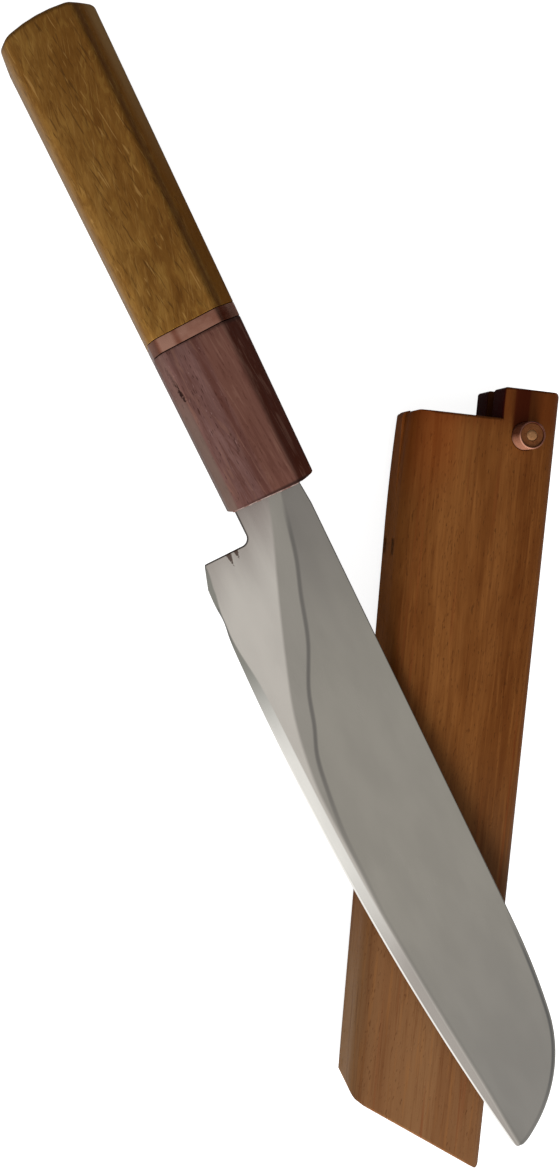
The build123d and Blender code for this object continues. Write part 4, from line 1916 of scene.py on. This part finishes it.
@dataclass
class Saya:
    """The saya: two boards glued to a core, well rounded along both sides."""

    width: float = 39.4
    length: float = 202.0
    thickness: float = 19.0
    core: float = 4.4
    side_round: float = 5.2
    arris: float = 0.7
    tongue_width: float = 16.0
    tongue_reach: float = 7.7
    end_slant: float = 20.6
    end_taper: float = 2.0
    mouth_round: float = 2.0
    mouth_ease: float = 0.9
    mouth_ease_reach: float = 30.0
    tongue_round: float = 2.5
    step_round: float = 0.8
    end_round: float = 3.0
    point_round: float = 1.64
    glue_chamfer: float = 0.04
    pin_centre: Point2 = PIN_CENTRE
    hole_radius: float = 3.45
    hole_ease: float = 0.25
    face_pitch: Point2 = (2.4, 2.8)
    hole_steps: int = 48
    hole_rings: tuple[float, ...] = (0.3, 1.0, 1.4)
    hole_sink: float = 0.6
    arris_angles: tuple[float, ...] = (15, 30, 45, 60, 75, 90)
    side_angles: tuple[float, ...] = (7, 14, 22, 30, 39, 48, 58, 68, 79, 90)
    side_pitch: float = 2.0
    sharp_angle: float = 52.0

    def left_inset(self, along: np.ndarray) -> np.ndarray:
        """How far the left side is drawn in at places along the saya.

        Args:
            along: The places.

        Returns:
            One distance for each place.
        """
        top = self.length / 2
        mouth, corner = top - self.tongue_reach, -top + self.end_slant
        share = np.clip((along - mouth + self.mouth_ease_reach) / self.mouth_ease_reach, 0, 1)
        return (mouth - along) * self.end_taper / (mouth - corner) + self.mouth_ease * share**2

    def outline(self) -> list[Point2]:
        """The saya seen from above, anticlockwise.

        Returns:
            The outline's points.
        """
        half, top = self.width / 2, self.length / 2
        mouth, step = top - self.tongue_reach, half - self.tongue_width
        eased_places = mouth - self.mouth_ease_reach * np.array([0.2, 0.4, 0.6, 0.8, 1.0])
        corners = [
            (-half + self.mouth_ease, mouth, self.mouth_round),
            *[(-half + float(self.left_inset(y)), float(y), 0.0) for y in eased_places],
            (-half + self.end_taper, -top + self.end_slant, self.end_round),
            (half, -top, self.point_round),
            (half, top, self.tongue_round),
            (step, top, self.step_round),
            (step, mouth, 0.0),
        ]
        return resampled(rounded(corners), 2.0)

    def long_drop(self, points: np.ndarray) -> np.ndarray:
        """How far the rounded long sides fall below the board's face at each point.

        Args:
            points: One row of two coordinates for each point.

        Returns:
            One distance for each point.
        """
        half = self.width / 2
        left = points[:, 0] + half - self.left_inset(points[:, 1])
        right = half - points[:, 0]
        gap = np.clip(np.minimum(left, right), 0, self.side_round)
        return fallen(self.side_round, self.side_round - gap)

    def creases(self, outline: list[Point2]) -> list[list[Point2]]:
        """Lines that a board's mesh has to follow.

        Args:
            outline: The board's outline.

        Returns:
            Rings round the arris, lines along both rounded sides and rings round the hole.
        """
        creases = []
        for share in shares(self.arris_angles, 1.2):
            ring = inset(outline, self.arris * share)
            creases.append([*ring, ring[0]])
        half, top = self.width / 2, self.length / 2
        heights = np.arange(-top, top, self.side_pitch)
        for share in shares(self.side_angles, 1.08):
            gap = self.side_round * share
            left = [(-half + gap + float(self.left_inset(y)), y) for y in heights]
            for side in (left, [(half - gap, y) for y in heights]):
                run = kept_inside(side, outline, 0.02)
                if len(run) > 1:
                    creases.append(run)
        rims = [self.hole_radius + self.hole_ease * share for share in self.hole_rings]
        return creases + [arc(self.pin_centre, radius, 0, 360, self.hole_steps) for radius in rims]

    def board(self, name: str) -> bpy.types.Mesh:
        """One board, glue face down at height zero.

        Args:
            name: The mesh's name.

        Returns:
            The mesh, in millimetres.
        """
        outline = self.outline()
        tall = (self.thickness - self.core) / 2
        hole = arc(self.pin_centre, self.hole_radius, 0, 360, self.hole_steps)[:-1]

        def upper(points: np.ndarray) -> np.ndarray:
            """The outer face's height.

            Args:
                points: One row of two coordinates for each point.

            Returns:
                One height for each point.
            """
            gap = np.clip(distance_to(points, outline), 0, self.arris)
            drop = np.maximum(fallen(self.arris, self.arris - gap), self.long_drop(points))
            off = np.hypot(*(points - np.array(self.pin_centre)).T) - self.hole_radius
            ease = np.clip(1 - off / self.hole_ease, 0, 1)
            return tall - drop - self.hole_ease * self.hole_sink * ease**2

        def lower(points: np.ndarray) -> np.ndarray:
            """The glue face's height, eased along its rim."""
            gap = distance_to(points, outline)
            return self.glue_chamfer * np.clip(1 - gap / (2 * self.glue_chamfer), 0, 1)

        mesh = Plate(outline, [hole], self.creases(outline), self.face_pitch, upper, lower).build(name)
        soften(mesh, self.sharp_angle)
        return mesh

    def dress(self, wood: Finish) -> None:
        """Builds both boards, finishes the core and lays them together.

        Args:
            wood: The saya's timber.
        """
        material = wood.make()
        rise = (self.thickness - self.core) / 2
        upper = Matrix.Translation((0, 0, rise + self.core))
        lower = Matrix.Translation((0, 0, rise)) @ Matrix.Diagonal((1, 1, -1, 1))
        for name, place, node in (
                ("saya_board_upper", upper, "saya_front_board"), ("saya_board_lower", lower, "saya_back_board")):
            mesh = self.board(name)
            mesh.transform(Matrix.Scale(MM, 4) @ place)
            if place.is_negative:
                mesh.flip_normals()
            dress(new_object(name, mesh), material, Body.SAYA, Slot.SAYA, node)
        for node in ("saya_spine_rail", "saya_edge_rail", "saya_end_block"):
            coat(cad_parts[node], material)


@dataclass
class Pin:
    """The saya's pin: a copper sleeve round a dark plug with a pale rod in its middle."""

    centre: Point2 = PIN_CENTRE
    foot: float = 0.3
    top: float = 23.5
    radius: float = 3.4
    wall: float = 0.44
    rim_round: float = 0.3
    bore_round: float = 0.18
    recess: float = 0.3
    core_radius: float = 1.35
    plug_gap: float = 0.02
    core_gap: float = 0.03
    end_ease: float = 0.12
    bore_rise: float = 0.04
    end_rise: float = 0.05
    middle_rise: float = 0.06
    sharp_angle: float = 40.0
    segments: int = 72

    def turned(self, name: str, profile: Sequence[Point2], closed: bool) -> bpy.types.Object:
        """Turns a profile about the pin's axis.

        Args:
            name: The piece's name.
            profile: Radius and height of each ring, from the bottom up the outside.
            closed: Whether the last ring joins the first.

        Returns:
            The piece, in metres.
        """
        mesh = bpy.data.meshes.new(name)
        with edited(mesh) as form:
            rings = []
            for radius, height in profile:
                ring = arc(self.centre, radius, 0, 360, self.segments)[:-1] if radius else [self.centre]
                rings.append([form.verts.new((x, y, height)) for x, y in ring])
            pairs = list(zip(rings, rings[1:])) + ([(rings[-1], rings[0])] if closed else [])
            for low, high in pairs:
                for i in range(self.segments):
                    j = (i + 1) % self.segments
                    corners = [low[i % len(low)], low[j % len(low)], high[j % len(high)], high[i % len(high)]]
                    distinct = list(dict.fromkeys(corners))
                    if len(distinct) > 2:
                        form.faces.new(distinct)
            bmesh.ops.recalc_face_normals(form, faces=form.faces)
        mesh.transform(Matrix.Scale(MM, 4))
        soften(mesh, self.sharp_angle)
        return new_object(name, mesh)

    def sleeve(self) -> list[Point2]:
        """The sleeve's section: outer wall, rounded rims and bore.

        Returns:
            Radius and height of each ring.
        """
        ease, soft = self.rim_round, self.bore_round
        top_out = arc((self.radius - ease, self.top - ease), ease, 0, 90, 3)
        top_in = arc((self.radius - self.wall + soft, self.top - soft), soft, 90, 180, 2)
        rim = [*top_out, *top_in]
        return [*rim, *[(r, self.foot + self.top - z) for r, z in rim[::-1]]]

    def rod(self, radius: float, bore: float) -> list[Point2]:
        """A rod's section, slightly domed, with eased ends and a bore if it has one.

        Args:
            radius: The rod's radius.
            bore: The bore's radius, or 0.

        Returns:
            Radius and height of each ring.
        """
        low, high, ease = self.foot + self.recess, self.top - self.recess, self.end_ease
        outside = [(radius - ease, low), (radius, low + ease), (radius, high - ease), (radius - ease, high)]
        if bore:
            rim = (bore + ease, high + self.bore_rise)
            return [*outside, rim, (bore, high - ease), (bore, low + ease), (bore + ease, low)]
        crown = [(radius * 0.5, high + self.end_rise), (0, high + self.middle_rise)]
        return [(0, low - self.end_rise), *outside, *crown]

    def dress(self, copper: Finish, plug: Finish, core: Finish) -> None:
        """Builds the three pieces and gives each its finish.

        Args:
            copper: The sleeve's metal.
            plug: The plug's wood.
            core: The middle rod's wood.
        """
        filling = self.rod(self.radius - self.wall - self.plug_gap, self.core_radius + self.core_gap)
        for name, profile, closed, finish, slot, node in (
                ("pin_copper_sleeve", self.sleeve(), True, copper, Slot.COPPER, "pin_sleeve"),
                ("pin_wood_plug", filling, True, plug, Slot.PIN, "pin_plug"),
                ("pin_middle_rod", self.rod(self.core_radius, 0), False, core, Slot.CORE, "pin_core")):
            dress(self.turned(name, profile, closed), finish.make(), Body.PIN, slot, node)


@dataclass
class Studio:
    """The floor, the light and the camera at the photograph's angle."""

    floor_radius: float = 3.0
    photo_width: int = 559
    photo_height: int = 1171
    lens_pixels: float = 1100.0
    straight_down: Point2 = (60.0, 495.0)
    row_low: Point2 = (503.0, 900.0)
    row_high: Point2 = (556.0, 400.0)
    row_level: float = 15.0
    camera_place: tuple[float, float, float] = (-101.2, 64.6, 276.0)
    key_azimuth: float = -6.0
    key_elevation: float = 20.0
    key_distance: float = 1.1
    key_size: float = 0.36
    key_power: float = 25.0
    key_aim: tuple[float, float, float] = (-0.03, 0.02, 0.0)
    sky: Colour = (250, 249, 247)
    sky_dim: float = 0.12
    sky_bright: float = 0.98
    sky_azimuth: float = 16.0
    sky_elevation: float = 48.0
    sky_turn: float = -0.3
    sensor_height: float = 36.0
    clip: Point2 = (0.01, 20.0)

    def ray(self, pixel: Point2) -> Vector:
        """The direction in which the camera sees a pixel, in camera axes: right, down and ahead."""
        right, down = pixel[0] - self.photo_width / 2, pixel[1] - self.photo_height / 2
        return Vector((right / self.lens_pixels, down / self.lens_pixels, 1.0))

    def camera(self) -> None:
        """Stands the camera so that it sees the row frame as the photograph does."""
        up = -self.ray(self.straight_down).normalized()
        drop = self.camera_place[2] - self.row_level
        low, high = (self.ray(p) * (drop / -self.ray(p).dot(up)) for p in (self.row_low, self.row_high))
        ahead = high - low
        ahead = (ahead - up * ahead.dot(up)).normalized()
        seen = Matrix((ahead.cross(up), ahead, up))
        turned = seen @ Matrix.Diagonal((1, -1, -1))
        data = bpy.data.cameras.new("camera")
        data.sensor_fit = "VERTICAL"
        data.sensor_height = self.sensor_height
        data.lens = self.lens_pixels / self.photo_height * self.sensor_height
        data.clip_start, data.clip_end = self.clip
        camera = bpy.data.objects.new("camera", data)
        camera.matrix_world = Matrix.Translation(Vector(self.camera_place) * MM) @ turned.to_4x4()
        bpy.context.scene.collection.objects.link(camera)
        bpy.context.scene.camera = camera

    @staticmethod
    def towards(azimuth: float, elevation: float) -> Vector:
        """The direction at an azimuth from -Y towards -X and an elevation, in degrees."""
        a, e = math.radians(azimuth), math.radians(elevation)
        return Vector((-math.sin(a) * math.cos(e), -math.cos(a) * math.cos(e), math.sin(e)))

    def sky_light(self) -> None:
        """A pale sky, brighter on the side where the light comes from."""
        world = bpy.data.worlds.new("sky")
        world.use_nodes = True
        world.node_tree.nodes.clear()
        graph = Graph(world.node_tree)
        looking = graph.add("ShaderNodeTexCoord").outputs["Generated"]
        bright = tuple(self.towards(self.sky_azimuth, self.sky_elevation))
        facing = graph.add("ShaderNodeVectorMath", {0: looking, 1: bright}, operation="DOT_PRODUCT").outputs["Value"]
        strength = graph.span(facing, self.sky_turn, 1.0, self.sky_dim, self.sky_bright)
        background = graph.add("ShaderNodeBackground", {"Color": linear(self.sky), "Strength": strength})
        graph.add("ShaderNodeOutputWorld", {0: background.outputs[0]})
        bpy.context.scene.world = world

    def key_light(self) -> None:
        """One square softbox aimed at the middle of the object, unseen in reflections."""
        towards = self.towards(self.key_azimuth, self.key_elevation)
        data = bpy.data.lights.new("key", "AREA")
        data.shape, data.size, data.energy = "SQUARE", self.key_size, self.key_power
        lamp = bpy.data.objects.new("key", data)
        lamp.visible_glossy = False
        lamp.location = Vector(self.key_aim) + towards * self.key_distance
        lamp.rotation_euler = (-towards).to_track_quat("-Z", "Y").to_euler()
        bpy.context.scene.collection.objects.link(lamp)

    def floor(self) -> None:
        """A wide round floor."""
        mesh = bpy.data.meshes.new("floor")
        with edited(mesh) as form:
            bmesh.ops.create_circle(form, cap_ends=True, segments=96, radius=self.floor_radius)
        floor = new_object("floor", mesh)
        coat(floor, FloorFinish("floor_finish", SAYA_FRAME).make())

    def build(self) -> None:
        """Makes the floor, the key light, the sky and the camera."""
        self.floor()
        self.key_light()
        self.sky_light()
        bpy.context.scene.view_settings.view_transform = "Standard"
        self.camera()


def main() -> None:
    """Builds the knife, its saya, the pin and the studio in order."""
    logging.basicConfig(level=logging.INFO, format="%(name)s: %(message)s")
    Studio().build()
    Blade().dress(Steel("blade_steel"))
    Handle().dress(
        Wood(
            "handle_wood", dark=(86, 53, 16), middle=(104, 70, 27), light=(120, 86, 39), band_width=9.0,
            band_swing=0.5, grain_width=1.3, grain_swing=0.7, pore_share=0.27, pore_depth=0.35, mottle=1.5,
            tones=((-12.0, 0.8), (-9.0, 0.85), (-6.0, 0.75), (-3.0, 0.55), (-1.2, 0.3), (1.2, 0.35), (3.5, 0.5),
                   (7.0, 0.5), (11.0, 0.35)), marks=REAR_MARKS),
        # The band's tones paint lighter and darker reflections across its facets, darkest along the spine-side arris.
        Copper("band_copper", bright=(160, 119, 103), tarnish_and_shade=(102, 44, 22), tones=(
            (-11.0, 0.2), (-9.4, 0.6), (-8.4, 0.0), (-6.0, 0.0), (-4.6, 0.65), (-3.4, 0.2), (1.0, 0.25), (6.2, 0.5),
            (7.3, 1.0), (8.4, 0.85), (9.4, 0.4), (11.0, 0.5))),
        Wood(
            "ferrule_wood", dark=(78, 50, 44), middle=(93, 64, 59), light=(107, 78, 73), band_width=5.0,
            band_swing=0.7, grain_swing=0.7, pore_colour=(46, 24, 20), pore_depth=0.6, pore_length=1.8,
            pore_width=0.26, mottle=1.3, mottle_turn=-16.0, marks=FRONT_MARKS),
        Glue("neck_glue"),
    )
    dowel_wood = Wood("dowel_wood", light=(205, 170, 120), middle=(186, 148, 100), dark=(160, 122, 80))
    coat(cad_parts["tang_dowel"], dowel_wood.make())
    Saya().dress(
        Wood(
            "saya_wood", SAYA_FRAME, dark=(76, 38, 11), middle=(94, 54, 22), light=(110, 68, 32), band_width=10.0,
            band_swing=0.7, grain_width=1.5, fibre_width=0.4, fibre_swing=0.07, pore_share=0.28, pore_depth=0.4,
            pore_length=1.8, pore_width=0.3, mottle=0.7, mottle_turn=4.0, gloss=0.03,
            tones=((-19.0, 0.3), (-15.0, 0.4), (-12.5, 0.25), (-10.0, 0.4), (-8.0, 0.6), (-6.0, 0.75), (-3.0, 0.6),
                   (-0.5, 0.5), (2.0, 0.75), (5.0, 0.85), (8.0, 0.9), (10.0, 0.6), (12.0, 0.5), (14.5, 0.55),
                   (16.5, 0.45), (19.0, 0.4)), marks=SAYA_MARKS))
    # The pin copper's tones paint a highlight on the sleeve's lower left and shade on its upper right.
    Pin().dress(
        Copper("pin_copper", PIN_FRAME, bright=(184, 130, 106), tarnish_and_shade=(80, 32, 18), roughness=0.26,
               metal=0.55, tones=((-3.4, 0.0), (-2.8, 0.0), (-1.7, 0.7), (3.4, 0.95))),
        Wood("plug_wood", UPRIGHT_FRAME, dark=(74, 40, 18), middle=(90, 52, 27), light=(104, 64, 37), band_width=1.4,
             grain_width=0.5),
        Wood("middle_rod_wood", UPRIGHT_FRAME, dark=(108, 74, 46), middle=(124, 88, 58), light=(140, 104, 72),
             band_width=0.9, grain_width=0.35),
    )


if __name__ == "__main__":
    main()
